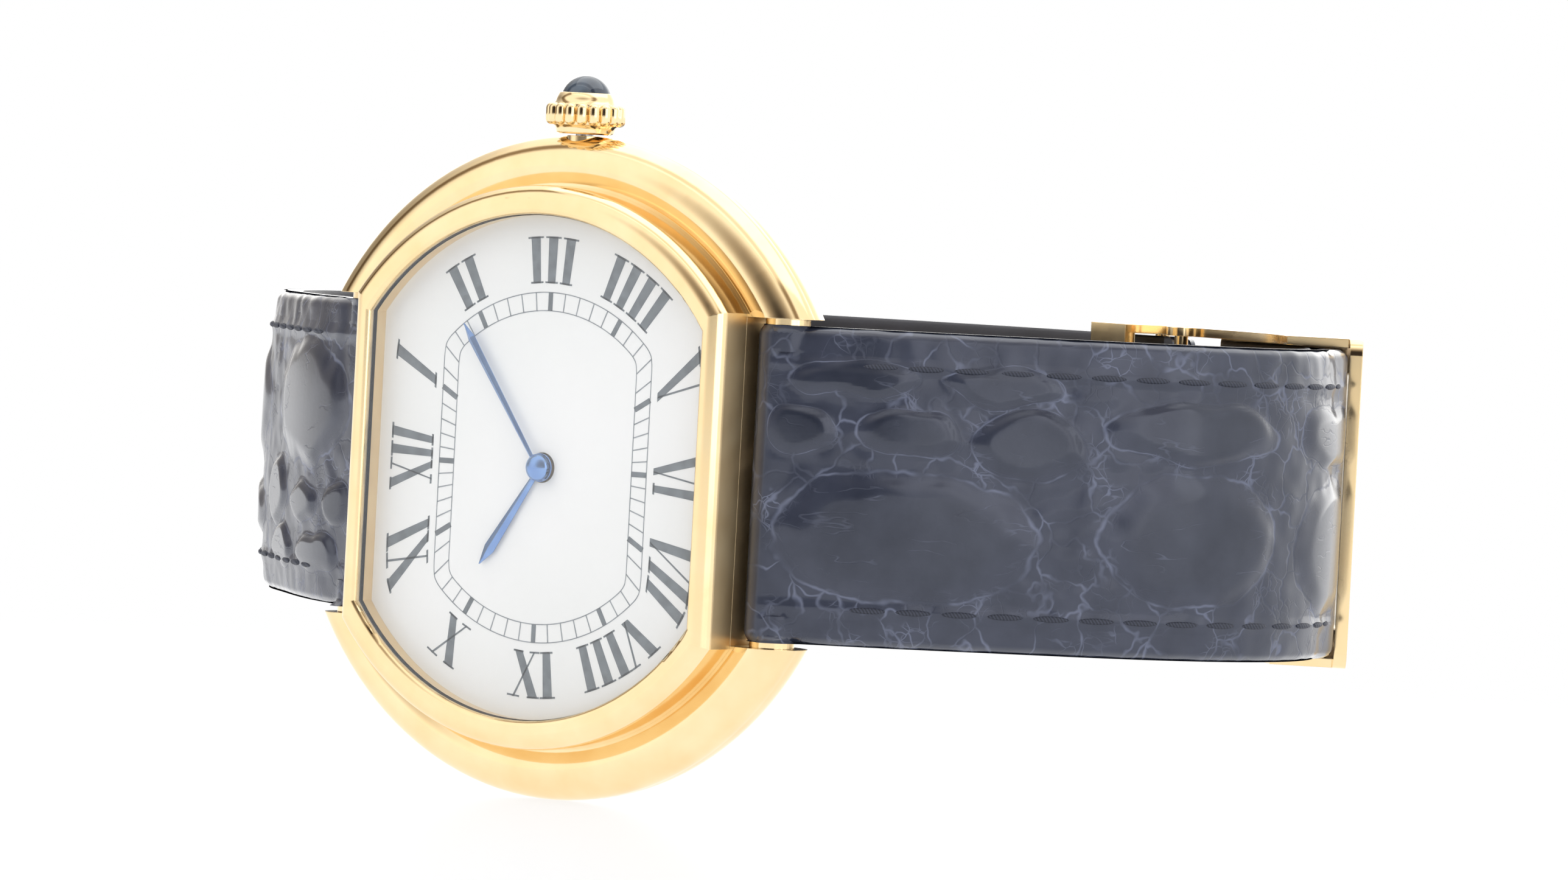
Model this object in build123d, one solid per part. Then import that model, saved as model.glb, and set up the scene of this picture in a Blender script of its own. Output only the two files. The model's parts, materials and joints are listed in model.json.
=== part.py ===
from build123d import *
import math
import os

os.makedirs("parts", exist_ok=True)

# A dress watch in gold on a leather strap with a folding clasp. All lengths are millimetres.
# It is drawn with the dial facing +Z, 3 o'clock at +X and 12 o'clock at +Y, and the middle
# of the dial's face at the origin. The last function turns it onto its 9 o'clock edge,
# crown up, with the middle of the case back at the origin.

# Driving sizes: the case, seen from the front
case_radius = 16.35
case_flat = 11.2
notch_side_gap = 0.3
bezel_radius = 13.85
bezel_flat = 11.2
opening_radius = 12.4
opening_flat = 10.1
dial_margin = 0.3

# Heights above and below the dial's face
bezel_rise = 1.4
bezel_depth = 0.9
ring_widest_depth = 2.3
back_depth = 4.6
back_thickness = 0.8
dial_thickness = 0.4
motion_space = 0.8
plate_thickness = 0.8
train_space = 1.0
bridge_thickness = 0.45

# Small sizes of the case
bezel_round = 0.75
bezel_inner_round = 0.25
ring_inner_radius = 14.0
ring_crest_inset = 0.9
ring_crest_depth = 0.72
ring_turn_inset = 0.3
ring_turn_depth = 3.6
back_edge_inset = 1.55
cavity_radius = 12.4
cavity_flat = 10.55
back_plate_radius = 13.4
back_plate_flat = 10.9
back_edge_bevel = 0.25
gasket_width = 0.3
gasket_height = 0.25
crystal_thickness = 0.7
crystal_seat_rise = 0.75
crystal_bevel = 0.2
seat = 0.03
running_gap = 0.04
overrun = 1.0

# Crown and stem, on an axis towards 3 o'clock
stem_depth = 2.1
stem_radius = 0.45
stem_inner_reach = 6.3
stem_square = 0.62
stem_groove_depth = 0.15
stem_groove_width = 0.3
tube_radius = 0.9
crown_gap = 0.08
crown_neck_radius = 1.45
crown_neck_length = 0.6
crown_band_radius = 1.68
crown_band_length = 0.95
crown_bead_radius = 0.32
crown_bead_count = 18
crown_collar_radius = 1.55
crown_collar_top_radius = 1.32
crown_collar_length = 0.5
crown_bore_depth = 1.2
cabochon_radius = 1.24
cabochon_rise = 0.86
cabochon_seat_depth = 0.2

# Movement
movement_radius = 10.2
movement_ring_bore = 10.3
bridge_radius = 9.95
foot_inner_radius = 9.6
bridge_split_gap = 0.2
bridge_split_offset = 1.55
bridge_split_angle = 52.5
pivot_radius = 0.12
arbor_radius = 0.2
jewel_radius = 0.5
jewel_thickness = 0.3
screw_head_radius = 0.55
screw_head_height = 0.2
screw_shank_radius = 0.28
screw_slot_width = 0.14
screw_slot_depth = 0.1
wheel_thickness = 0.12
wheel_hub_radius = 0.6
wheel_rim_modules = 3
wheel_arms = 4
third_level_depth = 2.15
fourth_level_depth = 2.47
centre_level_depth = 2.8
balance_level_depth = 2.56
balance_thickness = 0.18
fork_bridge_depth = 2.34
fork_bridge_thickness = 0.14
tooth_height_share = 1.0
tooth_root_share = 1.15
tooth_width_share = 0.36
tooth_tip_share = 0.11

# Teeth and modules of the going train, the winding work and the motion work
barrel_teeth = 72
centre_pinion_leaves = 12
barrel_module = 0.12
centre_teeth = 60
third_pinion_leaves = 8
centre_module = 0.09
third_teeth = 64
fourth_pinion_leaves = 8
third_module = 0.08
fourth_teeth = 70
escape_pinion_leaves = 7
fourth_module = 0.075
escape_teeth = 15
escape_radius = 1.6
escape_hub_radius = 0.4
escape_tooth_share = 0.24
escape_tip_share = 0.12
escape_root_share = 0.5
cannon_leaves = 10
minute_wheel_teeth = 30
minute_pinion_leaves = 8
hour_wheel_teeth = 32
motion_module = 0.1
winding_teeth = 12
crown_wheel_teeth = 20
ratchet_teeth = 28
winding_module = 0.2

# Where the wheels stand, as angles from 3 o'clock seen from the front
third_direction = 190.0
fourth_direction = 265.0
escape_direction = 330.0
fork_direction = 340.0
balance_direction = 0.0
fork_distance = 1.9
balance_distance = 2.5
minute_wheel_direction = 150.0

# Barrel and mainspring
barrel_drum_radius = 4.05
barrel_depth = 1.62
barrel_height = 1.02
barrel_wall = 0.16
barrel_tooth_height = 0.3
barrel_cover_thickness = 0.12
barrel_arbor_radius = 0.9
barrel_pivot_radius = 0.5
barrel_recess_margin = 0.15
mainspring_strip = 0.12
mainspring_height = 0.5
mainspring_turns = 5
ratchet_thickness = 0.18
crown_wheel_thickness = 0.16
crown_wheel_hub_radius = 0.7
winding_length = 0.8
winding_reach = 7.4
sliding_length = 0.7
sliding_band_share = 0.35
sliding_hub_radius = 0.72
slide_thickness = 0.2
slide_length = 0.6
slide_width = 1.0
slide_pin_width = 0.2
click_radius = 0.55
click_direction = 118.0
click_thickness = 0.16
click_nose_turn = 24.0
click_root_share = 0.8
click_tip_width = 0.1

# Balance and pallet fork
balance_radius = 2.9
balance_rim = 0.36
balance_arm_width = 0.3
roller_radius = 0.72
roller_thickness = 0.1
impulse_pin_radius = 0.08
impulse_pin_reach = 0.6
hairspring_depth = 2.84
hairspring_height = 0.1
hairspring_strip = 0.06
hairspring_inner_radius = 0.4
hairspring_pitch = 0.24
hairspring_turns = 6
fork_width = 0.24
fork_arm = 0.95
fork_bridge_reach = 1.9
fork_bridge_turn = -80.0
cock_eye_radius = 1.0
cock_foot_radius = 1.5
cock_foot_distance = 9.3
cock_foot_direction = 326.0
barrel_bridge_screws = (100.0, 18.0)
train_bridge_screws = (165.0, 235.0)

# Dial furniture
centre_arbor_radius = 0.28
cannon_radius = 0.4
hour_pipe_radius = 0.62
dial_hole_radius = 0.75
hour_hand_rise = 0.15
minute_hand_rise = 0.38
hand_thickness = 0.1
hour_hand_length = 6.0
hour_hand_tail = 0.7
hour_hand_widest = 0.62
hour_hand_neck = 0.2
hour_hand_widest_share = 0.84
minute_hand_length = 8.3
minute_hand_tail = 0.75
minute_hand_widest = 0.4
minute_hand_neck = 0.17
minute_hand_widest_share = 0.9
minute_hand_bore = 0.2
hand_hub_radius = 0.72
boss_radius = 0.66
boss_rise = 0.2
boss_top_share = 0.7
minute_hand_angle = 54.2
hour_hand_angle = 304.5
full_turn = 360.0

# Strap: a loop that follows an ellipse behind the case
strap_half_width = 7.7
loop_half_length = 30.0
loop_12_half_length = 31.1
loop_half_height = 19.8
loop_depth = 21.8
strap_thickness = 2.2
strap_end_radius = 1.38
strap_end_slope_share = 0.35
bar_offset = 12.65
bar_depth = 2.35
bar_radius = 0.45
bar_tip_radius = 0.28
bar_tip_length = 1.1
bar_bore_gap = 0.06
lug_radius = 1.1
lug_side_gap = 0.1
lug_root = 0.3
lining_thickness = 0.55
fold_notch_width = 1.3
fold_notch_length = 1.6
strap_6_tip_angle = 55.0
strap_12_tip_angle = 67.0
loop_join_angle = -36.0

# Clasp, at angles round the loop from the 6 o'clock extreme
clasp_start_angle = 25.0
clasp_end_angle = 63.0
clasp_side_reach = 0.55
clasp_plate_gap = 0.2
clasp_plate_thickness = 0.65
clasp_corner_radius = 0.8
clasp_rail_width = 0.45
clasp_rail_inset = 2.9
clasp_rail_end_angle = 2.7
clasp_window_side = 1.3
clasp_window_margin_angle = 4.5
blade_side_inset = 0.5
blade_thickness = 0.6
middle_inset = 2.65
base_inset = 3.95
base_start_turn = 5.0
hinge_a_angle = 60.0
hinge_a_inset = 3.1
hinge_b_angle = 26.5
hinge_b_inset = 3.6
hinge_radius = 0.78
pin_radius = 0.38
hinge_half_split = 2.6
hinge_gap = 0.12
ear_angle = 69.0
ear_inset = 1.1
ear_turn = 3.0
end_bar_radius = 0.4
end_bar_end_inset = 0.15

# Heights worked out from the sizes above, all measured along the dial's axis
dial_low = -dial_thickness
plate_top = dial_low - motion_space
plate_low = plate_top - plate_thickness
bridge_top = plate_low - train_space
bridge_low = bridge_top - bridge_thickness
case_low = -back_depth
back_top = case_low + back_thickness
bezel_low = -bezel_depth

# Widths that follow the strap's
notch_half_width = strap_half_width + notch_side_gap
lug_face = strap_half_width - fold_notch_width + lug_side_gap
clasp_half_width = strap_half_width + clasp_side_reach
clasp_window_half_width = strap_half_width - clasp_window_side
blade_half_width = strap_half_width - blade_side_inset
end_bar_half_length = clasp_half_width - end_bar_end_inset

# How round pieces are placed: centred on their axis and standing on their lower face
standing = (Align.CENTER, Align.CENTER, Align.MIN)


def disk(radius, low, high, x=0, y=0):
    """A cylinder along the dial's axis between two heights."""
    return Pos(x, y, low) * Cylinder(radius, high - low, align=standing)


def block(x_low, x_high, y_low, y_high, low, high):
    """A box between two corners."""
    size = (x_high - x_low, y_high - y_low, high - low)
    return Pos(x_low, y_low, low) * Box(*size, align=(Align.MIN, Align.MIN, Align.MIN))


def flat_sided(radius, flat, low, high):
    """A disk cut by two flats, at 12 and at 6: the shape of the bezel and the dial."""
    return disk(radius, low, high) & block(-radius, radius, -flat, flat, low, high)


def rod_x(radius, start, end, y=0, z=0):
    """A cylinder along the crown's axis between two distances from the middle."""
    return Pos(start, y, z) * Rot(0, 90, 0) * Cylinder(radius, end - start, align=standing)


def polar(distance, degrees, x=0, y=0):
    """A point at a distance and an angle from another point."""
    angle = math.radians(degrees)
    return (x + distance * math.cos(angle), y + distance * math.sin(angle))


def toothed(teeth, module, phase, low, high, x=0, y=0):
    """A toothed disk. The phase is the angle at which one tooth is centred."""
    pitch_radius = teeth * module / 2
    tip_radius = pitch_radius + module * tooth_height_share
    root_radius = pitch_radius - module * tooth_root_share
    pitch = full_turn / teeth
    outline = []
    for tooth in range(teeth):
        middle = phase + tooth * pitch
        outline.append(polar(root_radius, middle - pitch * tooth_width_share))
        outline.append(polar(tip_radius, middle - pitch * tooth_tip_share))
        outline.append(polar(tip_radius, middle + pitch * tooth_tip_share))
        outline.append(polar(root_radius, middle + pitch * tooth_width_share))
    face = make_face(Polyline(*outline, close=True))
    return Pos(x, y, low) * extrude(face, high - low, dir=(0, 0, 1))


def wheel_windows(inner, outer, arm_width, low, high):
    """The openings between the arms of a crossed-out wheel."""
    windows = disk(outer, low, high) - disk(inner, low, high)
    for arm in range(wheel_arms):
        bar = block(0, outer, -arm_width / 2, arm_width / 2, low, high)
        windows -= Rot(0, 0, arm * full_turn / wheel_arms) * bar
    return windows


# Places of the wheels, worked out from their teeth
centre_distance = (barrel_teeth + centre_pinion_leaves) * barrel_module / 2
third_distance = (centre_teeth + third_pinion_leaves) * centre_module / 2
fourth_distance = (third_teeth + fourth_pinion_leaves) * third_module / 2
escape_distance = (fourth_teeth + escape_pinion_leaves) * fourth_module / 2
minute_distance = (cannon_leaves + minute_wheel_teeth) * motion_module / 2
ratchet_distance = (crown_wheel_teeth + ratchet_teeth) * winding_module / 2
barrel_at = polar(centre_distance, bridge_split_angle)
third_at = polar(third_distance, third_direction)
fourth_at = polar(fourth_distance, fourth_direction, *third_at)
escape_at = polar(escape_distance, escape_direction, *fourth_at)
fork_at = polar(fork_distance, fork_direction, *escape_at)
balance_at = polar(balance_distance, balance_direction, *fork_at)
minute_wheel_at = polar(minute_distance, minute_wheel_direction)
cock_foot_at = polar(cock_foot_distance, cock_foot_direction)
crown_wheel_at = (barrel_at[0] + math.sqrt(ratchet_distance ** 2 - barrel_at[1] ** 2), 0)
click_distance = ratchet_teeth * winding_module / 2 + click_radius + winding_module * 2
click_at = polar(click_distance, click_direction, *barrel_at)


def strap_notches():
    """The two openings that take the strap's ends."""
    cut = block(-notch_half_width, notch_half_width, case_flat, case_radius + overrun,
                case_low - overrun, bezel_rise)
    return cut + Rot(0, 0, 180) * cut


def case_ring():
    """The case middle: a rounded outer ring, strap notches, and bores for the movement and the crown."""
    back_edge_radius = case_radius - back_edge_inset
    crest = (case_radius - ring_crest_inset, 0, -ring_crest_depth)
    widest = (case_radius, 0, -ring_widest_depth)
    turn = (case_radius - ring_turn_inset, 0, -ring_turn_depth)
    rise = ThreePointArc((ring_inner_radius, 0, bezel_low), crest, widest)
    fall = ThreePointArc(widest, turn, (back_edge_radius, 0, case_low))
    closing = Polyline((back_edge_radius, 0, case_low), (0, 0, case_low), (0, 0, bezel_low),
                       (ring_inner_radius, 0, bezel_low))
    body = revolve(make_face([rise, fall, closing]), Axis.Z)
    body -= strap_notches()
    body -= flat_sided(cavity_radius, cavity_flat, back_top, bezel_low + overrun)
    body -= flat_sided(back_plate_radius + seat, back_plate_flat + seat, case_low - overrun, back_top)
    body -= gasket_ring(0)
    body -= rod_x(tube_radius, 0, case_radius + overrun, z=-stem_depth)
    reach = lug_face + bar_tip_length
    for side in (1, -1):
        body += lugs(side * bar_offset)
        body -= rod_x(bar_tip_radius + bar_bore_gap, -reach, reach, side * bar_offset, -bar_depth)
    return body


def lugs(y):
    """The two short round lugs of one notch, which hold the strap's bar."""
    root = notch_half_width + lug_root
    right = rod_x(lug_radius, lug_face, root, y, -bar_depth)
    return right + rod_x(lug_radius, -root, -lug_face, y, -bar_depth)


def gasket_ring(clearance):
    """The case back's gasket, in a groove round the cavity."""
    low = back_top + clearance
    high = back_top + gasket_height
    reach = gasket_width - clearance
    outer = flat_sided(cavity_radius + gasket_width + reach, cavity_flat + reach, low, high)
    return outer - flat_sided(cavity_radius + gasket_width, cavity_flat + gasket_width / 3, low, high)


def bezel():
    """The polished bezel, with the crystal's seat and a recess for the dial beneath."""
    body = flat_sided(bezel_radius, bezel_flat, bezel_low, bezel_rise)
    body = fillet(body.faces().sort_by(Axis.Z)[-1].edges(), bezel_round)
    opening = flat_sided(opening_radius, opening_flat, 0, bezel_rise + overrun)
    body -= opening
    body = fillet(body.faces().sort_by(Axis.Z)[-1].inner_wires()[0].edges(), bezel_inner_round)
    body -= flat_sided(opening_radius + dial_margin, opening_flat + dial_margin, bezel_low - overrun, 0)
    body -= crystal_gasket(0)
    return body


def crystal_gasket(clearance):
    """The ring that holds the crystal in the bezel."""
    low = crystal_seat_rise
    high = crystal_seat_rise + gasket_height
    outer = flat_sided(opening_radius + gasket_width, opening_flat + gasket_width, low, high)
    return outer - flat_sided(opening_radius - clearance, opening_flat - clearance, low, high)


def crystal():
    """The crystal, a flat-sided plate with an eased edge."""
    low = crystal_seat_rise
    body = flat_sided(opening_radius - seat, opening_flat - seat, low, low + crystal_thickness)
    return chamfer(body.faces().sort_by(Axis.Z)[-1].edges(), crystal_bevel)


def dial():
    """The dial plate with the hole for the hands."""
    body = flat_sided(opening_radius + dial_margin - seat, opening_flat + dial_margin - seat, dial_low, 0)
    return body - disk(dial_hole_radius, dial_low, 0)


def case_back():
    """The press-fit back, with an eased outer edge."""
    body = flat_sided(back_plate_radius, back_plate_flat, case_low, back_top)
    return chamfer(body.faces().sort_by(Axis.Z)[0].edges(), back_edge_bevel)


def movement_ring():
    """The spacer that holds the movement in the case."""
    body = flat_sided(cavity_radius - seat, cavity_flat - seat, bridge_low, bezel_low)
    body += flat_sided(cavity_radius - seat, opening_flat + dial_margin - seat, bezel_low, dial_low)
    body -= disk(movement_ring_bore, bridge_low, dial_low)
    return body - rod_x(tube_radius + seat, 0, cavity_radius, z=-stem_depth)


def crown_tube():
    """The tube that the stem passes through the case wall in."""
    start = movement_ring_bore + seat
    body = rod_x(tube_radius - seat, start, case_radius, z=-stem_depth)
    return body - rod_x(stem_radius + running_gap, start - overrun, case_radius + overrun, z=-stem_depth)


def arbor_holes(low, high, radius, places):
    """Round holes at several places."""
    holes = disk(radius, low, high, *places[0])
    for place in places[1:]:
        holes += disk(radius, low, high, *place)
    return holes


def main_plate():
    """The plate that carries the whole movement, recessed for the barrel and the winding work."""
    body = disk(movement_radius, plate_low, plate_top)
    recess_radius = barrel_teeth * barrel_module / 2 + barrel_module + barrel_recess_margin
    body -= disk(recess_radius, plate_low, -barrel_depth + barrel_recess_margin, *barrel_at)
    winding_radius = winding_teeth * winding_module / 2 + winding_module * 2
    body -= block(stem_inner_reach - sliding_length, winding_reach + winding_length + barrel_recess_margin,
                  -winding_radius, winding_radius, plate_low, plate_top)
    slot = stem_radius + 2 * running_gap
    body -= block(stem_inner_reach, movement_radius + overrun, -slot, slot, plate_low, -stem_depth + slot)
    body -= disk(centre_arbor_radius + running_gap, plate_low, plate_top)
    body -= disk(barrel_pivot_radius + running_gap, plate_low, plate_top, *barrel_at)
    body -= disk(arbor_radius + running_gap, plate_low, plate_top, *minute_wheel_at)
    body -= arbor_holes(plate_low, plate_low + jewel_thickness, jewel_radius, train_places())
    return body


def train_places():
    """Where the jewelled arbors stand."""
    return [third_at, fourth_at, escape_at, fork_at, balance_at]


def jewels():
    """Ring-shaped bearings in the plate, the train bridge and the balance cock."""
    stones = [jewel(place, plate_low) for place in train_places()]
    for place in [third_at, fourth_at, escape_at, balance_at]:
        stones.append(jewel(place, bridge_top - jewel_thickness))
    return stones


def jewel(place, low):
    """One bearing, bored for a pivot."""
    high = low + jewel_thickness
    return disk(jewel_radius, low, high, *place) - disk(pivot_radius + running_gap, low, high, *place)


def half_plane(offset, low, high):
    """A large block on the barrel's side of the split between the two main bridges."""
    reach = 2 * movement_radius
    return Rot(0, 0, bridge_split_angle) * block(offset, reach, -reach, reach, low, high)


def bridge_shape(low, high):
    """The outline that all three bridges share."""
    return disk(bridge_radius, low, high)


def bridge_foot(low, high):
    """The rim by which a bridge stands on the plate, open where the stem passes."""
    rim = disk(bridge_radius, low, high) - disk(foot_inner_radius, low, high)
    slot = stem_radius + 4 * running_gap
    return rim - block(0, movement_radius, -slot, slot, low, high)


def cock_outline(low, high):
    """The balance cock: an eye over the balance and a broad foot beside it."""
    eye = disk(cock_eye_radius, low, high, *balance_at)
    foot = disk(cock_foot_radius, low, high, *cock_foot_at)
    run = math.dist(balance_at, cock_foot_at)
    turn = math.degrees(math.atan2(cock_foot_at[1] - balance_at[1], cock_foot_at[0] - balance_at[0]))
    arm = Pos(*balance_at, 0) * Rot(0, 0, turn) * block(0, run, -cock_eye_radius, cock_eye_radius, low, high)
    return eye + foot + arm


def barrel_bridge():
    """The bridge over the barrel and the winding work."""
    body = bridge_shape(bridge_low, bridge_top) & half_plane(bridge_split_offset, bridge_low, bridge_top)
    foot = bridge_foot(bridge_top, plate_low) & half_plane(bridge_split_offset, bridge_top, plate_low)
    body += foot
    winding_radius = winding_teeth * winding_module / 2 + winding_module * 2
    window_start = winding_reach - sliding_length - 3 * running_gap
    window_end = winding_reach + winding_length + 2 * running_gap
    body -= block(window_start, window_end, -winding_radius, winding_radius, bridge_low, bridge_top)
    body -= disk(barrel_pivot_radius + running_gap, bridge_low, bridge_top, *barrel_at)
    body -= cock_room()
    return body - arbor_holes(bridge_low, bridge_top, screw_shank_radius, bridge_screw_places()[0:2])


def cock_room():
    """The space kept clear round the balance cock."""
    eye = disk(cock_eye_radius + bridge_split_gap, bridge_low, plate_low, *balance_at)
    foot = disk(cock_foot_radius + bridge_split_gap, bridge_low, plate_low, *cock_foot_at)
    return eye + foot


def train_bridge():
    """The bridge over the centre, third, fourth and escape wheels."""
    reach = 2 * movement_radius
    split_offset = bridge_split_offset - bridge_split_gap
    split = half_plane(split_offset, bridge_low, bridge_top)
    body = bridge_shape(bridge_low, bridge_top) - split
    balance_side = fork_at[0]
    window_top = balance_at[1] + balance_radius + bridge_split_gap
    body -= block(balance_side, reach, -reach, window_top, bridge_low, bridge_top)
    foot = bridge_foot(bridge_top, plate_low) - half_plane(split_offset, bridge_top, plate_low)
    foot -= block(balance_side, reach, -reach, window_top, bridge_top, plate_low)
    body += foot
    body -= disk(centre_arbor_radius + running_gap, bridge_low, bridge_top)
    jewelled = [third_at, fourth_at, escape_at]
    body -= arbor_holes(bridge_top - jewel_thickness, bridge_top, jewel_radius, jewelled)
    return body - arbor_holes(bridge_low, bridge_top, screw_shank_radius, bridge_screw_places()[2:4])


def balance_cock():
    """The cock that holds the balance from above."""
    body = cock_outline(bridge_low, bridge_top) & disk(bridge_radius, bridge_low, bridge_top)
    foot = disk(cock_foot_radius, bridge_top, plate_low, *cock_foot_at)
    foot &= disk(bridge_radius, bridge_top, plate_low)
    foot -= disk(balance_radius + bridge_split_gap, bridge_top, plate_low, *balance_at)
    body += foot
    body -= disk(jewel_radius, bridge_top - jewel_thickness, bridge_top, *balance_at)
    return body - arbor_holes(bridge_low, bridge_top, screw_shank_radius, bridge_screw_places()[4:5])


def fork_bridge():
    """The small bridge over the pallet fork, on a pillar at each end."""
    low = -fork_bridge_depth - fork_bridge_thickness
    high = -fork_bridge_depth
    bar = block(-fork_bridge_reach, fork_bridge_reach, -jewel_radius, jewel_radius, low, high)
    feet = disk(jewel_radius, low, plate_low, -fork_bridge_reach)
    feet += disk(jewel_radius, low, plate_low, fork_bridge_reach)
    body = Pos(*fork_at, 0) * Rot(0, 0, fork_bridge_turn) * (bar + feet)
    return body - disk(pivot_radius + running_gap, low, high, *fork_at)


def bridge_screw_places():
    """Two screws on the barrel bridge, two on the train bridge, one on the cock."""
    edge = bridge_radius - screw_head_radius * 2
    around = [polar(edge, direction) for direction in barrel_bridge_screws + train_bridge_screws]
    return around + [cock_foot_at]


def bridge_screws():
    """Slotted screws that hold the bridges."""
    screws = []
    for place in bridge_screw_places():
        head = disk(screw_head_radius, bridge_low - screw_head_height, bridge_low, *place)
        shank = disk(screw_shank_radius - seat, bridge_low, bridge_top, *place)
        slot = block(place[0] - screw_head_radius, place[0] + screw_head_radius,
                     place[1] - screw_slot_width / 2, place[1] + screw_slot_width / 2,
                     bridge_low - screw_head_height, bridge_low - screw_head_height + screw_slot_depth)
        screws.append(head + shank - slot)
    return screws


def crossed_wheel(teeth, module, phase, depth, place):
    """A thin wheel with arms, at a depth below the dial."""
    low = -depth - wheel_thickness
    rim = toothed(teeth, module, phase, low, -depth, *place)
    outer = teeth * module / 2 - module * wheel_rim_modules
    return rim - Pos(*place, 0) * wheel_windows(wheel_hub_radius, outer, arbor_radius, low, -depth)


def arbor(place, low, high):
    """An arbor with a thin pivot at each end, in the jewels of plate and bridge."""
    body = disk(arbor_radius, low, high, *place)
    body += disk(pivot_radius, high, plate_low + jewel_thickness, *place)
    return body + disk(pivot_radius, bridge_top - jewel_thickness, low, *place)


def centre_wheel():
    """The centre wheel, its pinion and the arbor that carries the cannon pinion."""
    phase_barrel = bridge_split_angle + full_turn / centre_pinion_leaves / 2
    pinion_low = -centre_level_depth
    pinion_high = -third_level_depth - wheel_thickness - running_gap
    body = crossed_wheel(centre_teeth, centre_module, third_direction, centre_level_depth, (0, 0))
    body += toothed(centre_pinion_leaves, barrel_module, phase_barrel, pinion_low, pinion_high)
    body += disk(centre_arbor_radius, pinion_high, hour_hand_rise)
    return body + disk(centre_arbor_radius, bridge_low, -centre_level_depth - wheel_thickness)


def third_wheel():
    """The third wheel and its pinion."""
    low = -centre_level_depth - wheel_thickness
    phase = third_direction + 180 + full_turn / third_pinion_leaves / 2
    body = crossed_wheel(third_teeth, third_module, fourth_direction, third_level_depth, third_at)
    body += toothed(third_pinion_leaves, centre_module, phase, low, -third_level_depth, *third_at)
    return body + arbor(third_at, bridge_top + running_gap, plate_low - running_gap)


def fourth_wheel():
    """The fourth wheel and its pinion."""
    phase = fourth_direction + 180 + full_turn / fourth_pinion_leaves / 2
    body = crossed_wheel(fourth_teeth, fourth_module, escape_direction, fourth_level_depth, fourth_at)
    pinion_high = plate_low - 2 * running_gap
    body += toothed(fourth_pinion_leaves, third_module, phase, -fourth_level_depth, pinion_high, *fourth_at)
    return body + arbor(fourth_at, bridge_top + running_gap, plate_low - running_gap)


def escape_wheel():
    """The escape wheel with its raked teeth, and its pinion."""
    low = -third_level_depth - wheel_thickness
    pitch = full_turn / escape_teeth
    root = escape_radius * (1 - escape_tooth_share)
    outline = []
    for tooth in range(escape_teeth):
        lead = fork_direction + (tooth + 1 / 2) * pitch
        outline.append(polar(escape_radius, lead))
        outline.append(polar(escape_radius, lead + pitch * escape_tip_share))
        outline.append(polar(root, lead + pitch * escape_root_share))
        outline.append(polar(root, lead + pitch * (1 - escape_tip_share)))
    face = make_face(Polyline(*outline, close=True))
    body = Pos(*escape_at, low) * extrude(face, wheel_thickness, dir=(0, 0, 1))
    windows = wheel_windows(escape_hub_radius, root - arbor_radius, arbor_radius, low, -third_level_depth)
    body -= Pos(*escape_at, 0) * windows
    phase = escape_direction + 180 + full_turn / escape_pinion_leaves / 2
    body += toothed(escape_pinion_leaves, fourth_module, phase, -fourth_level_depth - wheel_thickness,
                    -third_level_depth, *escape_at)
    return body + arbor(escape_at, bridge_top + running_gap, plate_low - running_gap)


def pallet_fork():
    """The pallet fork: two arms with stones, and a lever that ends in a notch for the balance's pin."""
    low = -third_level_depth - wheel_thickness
    high = -third_level_depth
    lever_end = balance_distance - impulse_pin_reach
    lever = block(0, lever_end, -fork_width / 2, fork_width / 2, low, high)
    head = block(lever_end - fork_width, lever_end + fork_width / 2, -fork_width, fork_width, low, high)
    notch = impulse_pin_radius + running_gap
    head -= block(lever_end - fork_width / 2, lever_end + fork_width, -notch, notch, low, high)
    arms = block(-fork_width / 2, fork_width / 2, -fork_arm, fork_arm, low, high)
    stones = block(-fork_width, fork_width / 2, fork_arm - fork_width, fork_arm, low, high)
    stones += block(-fork_width, fork_width / 2, -fork_arm, fork_width - fork_arm, low, high)
    body = Pos(*fork_at, 0) * Rot(0, 0, balance_direction) * (lever + head)
    body += Pos(*fork_at, 0) * Rot(0, 0, fork_direction) * (arms + stones)
    body += disk(arbor_radius, low, plate_low - running_gap, *fork_at)
    body += disk(pivot_radius, plate_low - running_gap, plate_low + jewel_thickness, *fork_at)
    return body + disk(pivot_radius, -fork_bridge_depth - fork_bridge_thickness, low, *fork_at)


def balance_wheel():
    """The balance: rim, two arms, staff, and the roller that carries the impulse pin."""
    low = -balance_level_depth - balance_thickness
    high = -balance_level_depth
    rim = disk(balance_radius, low, high) - disk(balance_radius - balance_rim, low, high)
    arm = block(balance_rim - balance_radius, balance_radius - balance_rim, -balance_arm_width / 2,
                balance_arm_width / 2, low, high)
    roller_low = -balance_level_depth + 2 * running_gap
    roller = disk(roller_radius, roller_low, roller_low + roller_thickness)
    pin = disk(impulse_pin_radius, roller_low, -third_level_depth, -impulse_pin_reach, 0)
    staff = disk(arbor_radius, bridge_top + running_gap, plate_low - running_gap)
    staff += disk(pivot_radius, plate_low - running_gap, plate_low + jewel_thickness)
    staff += disk(pivot_radius, bridge_top - jewel_thickness, bridge_top + running_gap)
    body = rim + Rot(0, 0, 90) * arm + roller + pin + staff
    return Pos(*balance_at, 0) * body


def spiral_strip(inner_radius, pitch, turns, strip, low, high):
    """A flat spiral spring, as one strip of half rings that step outward."""
    inner_edge = []
    outer_edge = []
    for half in range(2 * turns + 1):
        radius = inner_radius + pitch * half / 2
        side = 1 if half % 2 == 0 else -1
        inner_edge.append((side * (radius - strip / 2), 0))
        outer_edge.append((side * (radius + strip / 2), 0))
    inner_line = spiral_line(inner_edge)
    outer_line = spiral_line(outer_edge)
    ends = [Line(inner_edge[0], outer_edge[0]), Line(inner_edge[-1], outer_edge[-1])]
    face = make_face(inner_line + outer_line + ends)
    return Pos(0, 0, low) * extrude(face, high - low, dir=(0, 0, 1))


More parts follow.
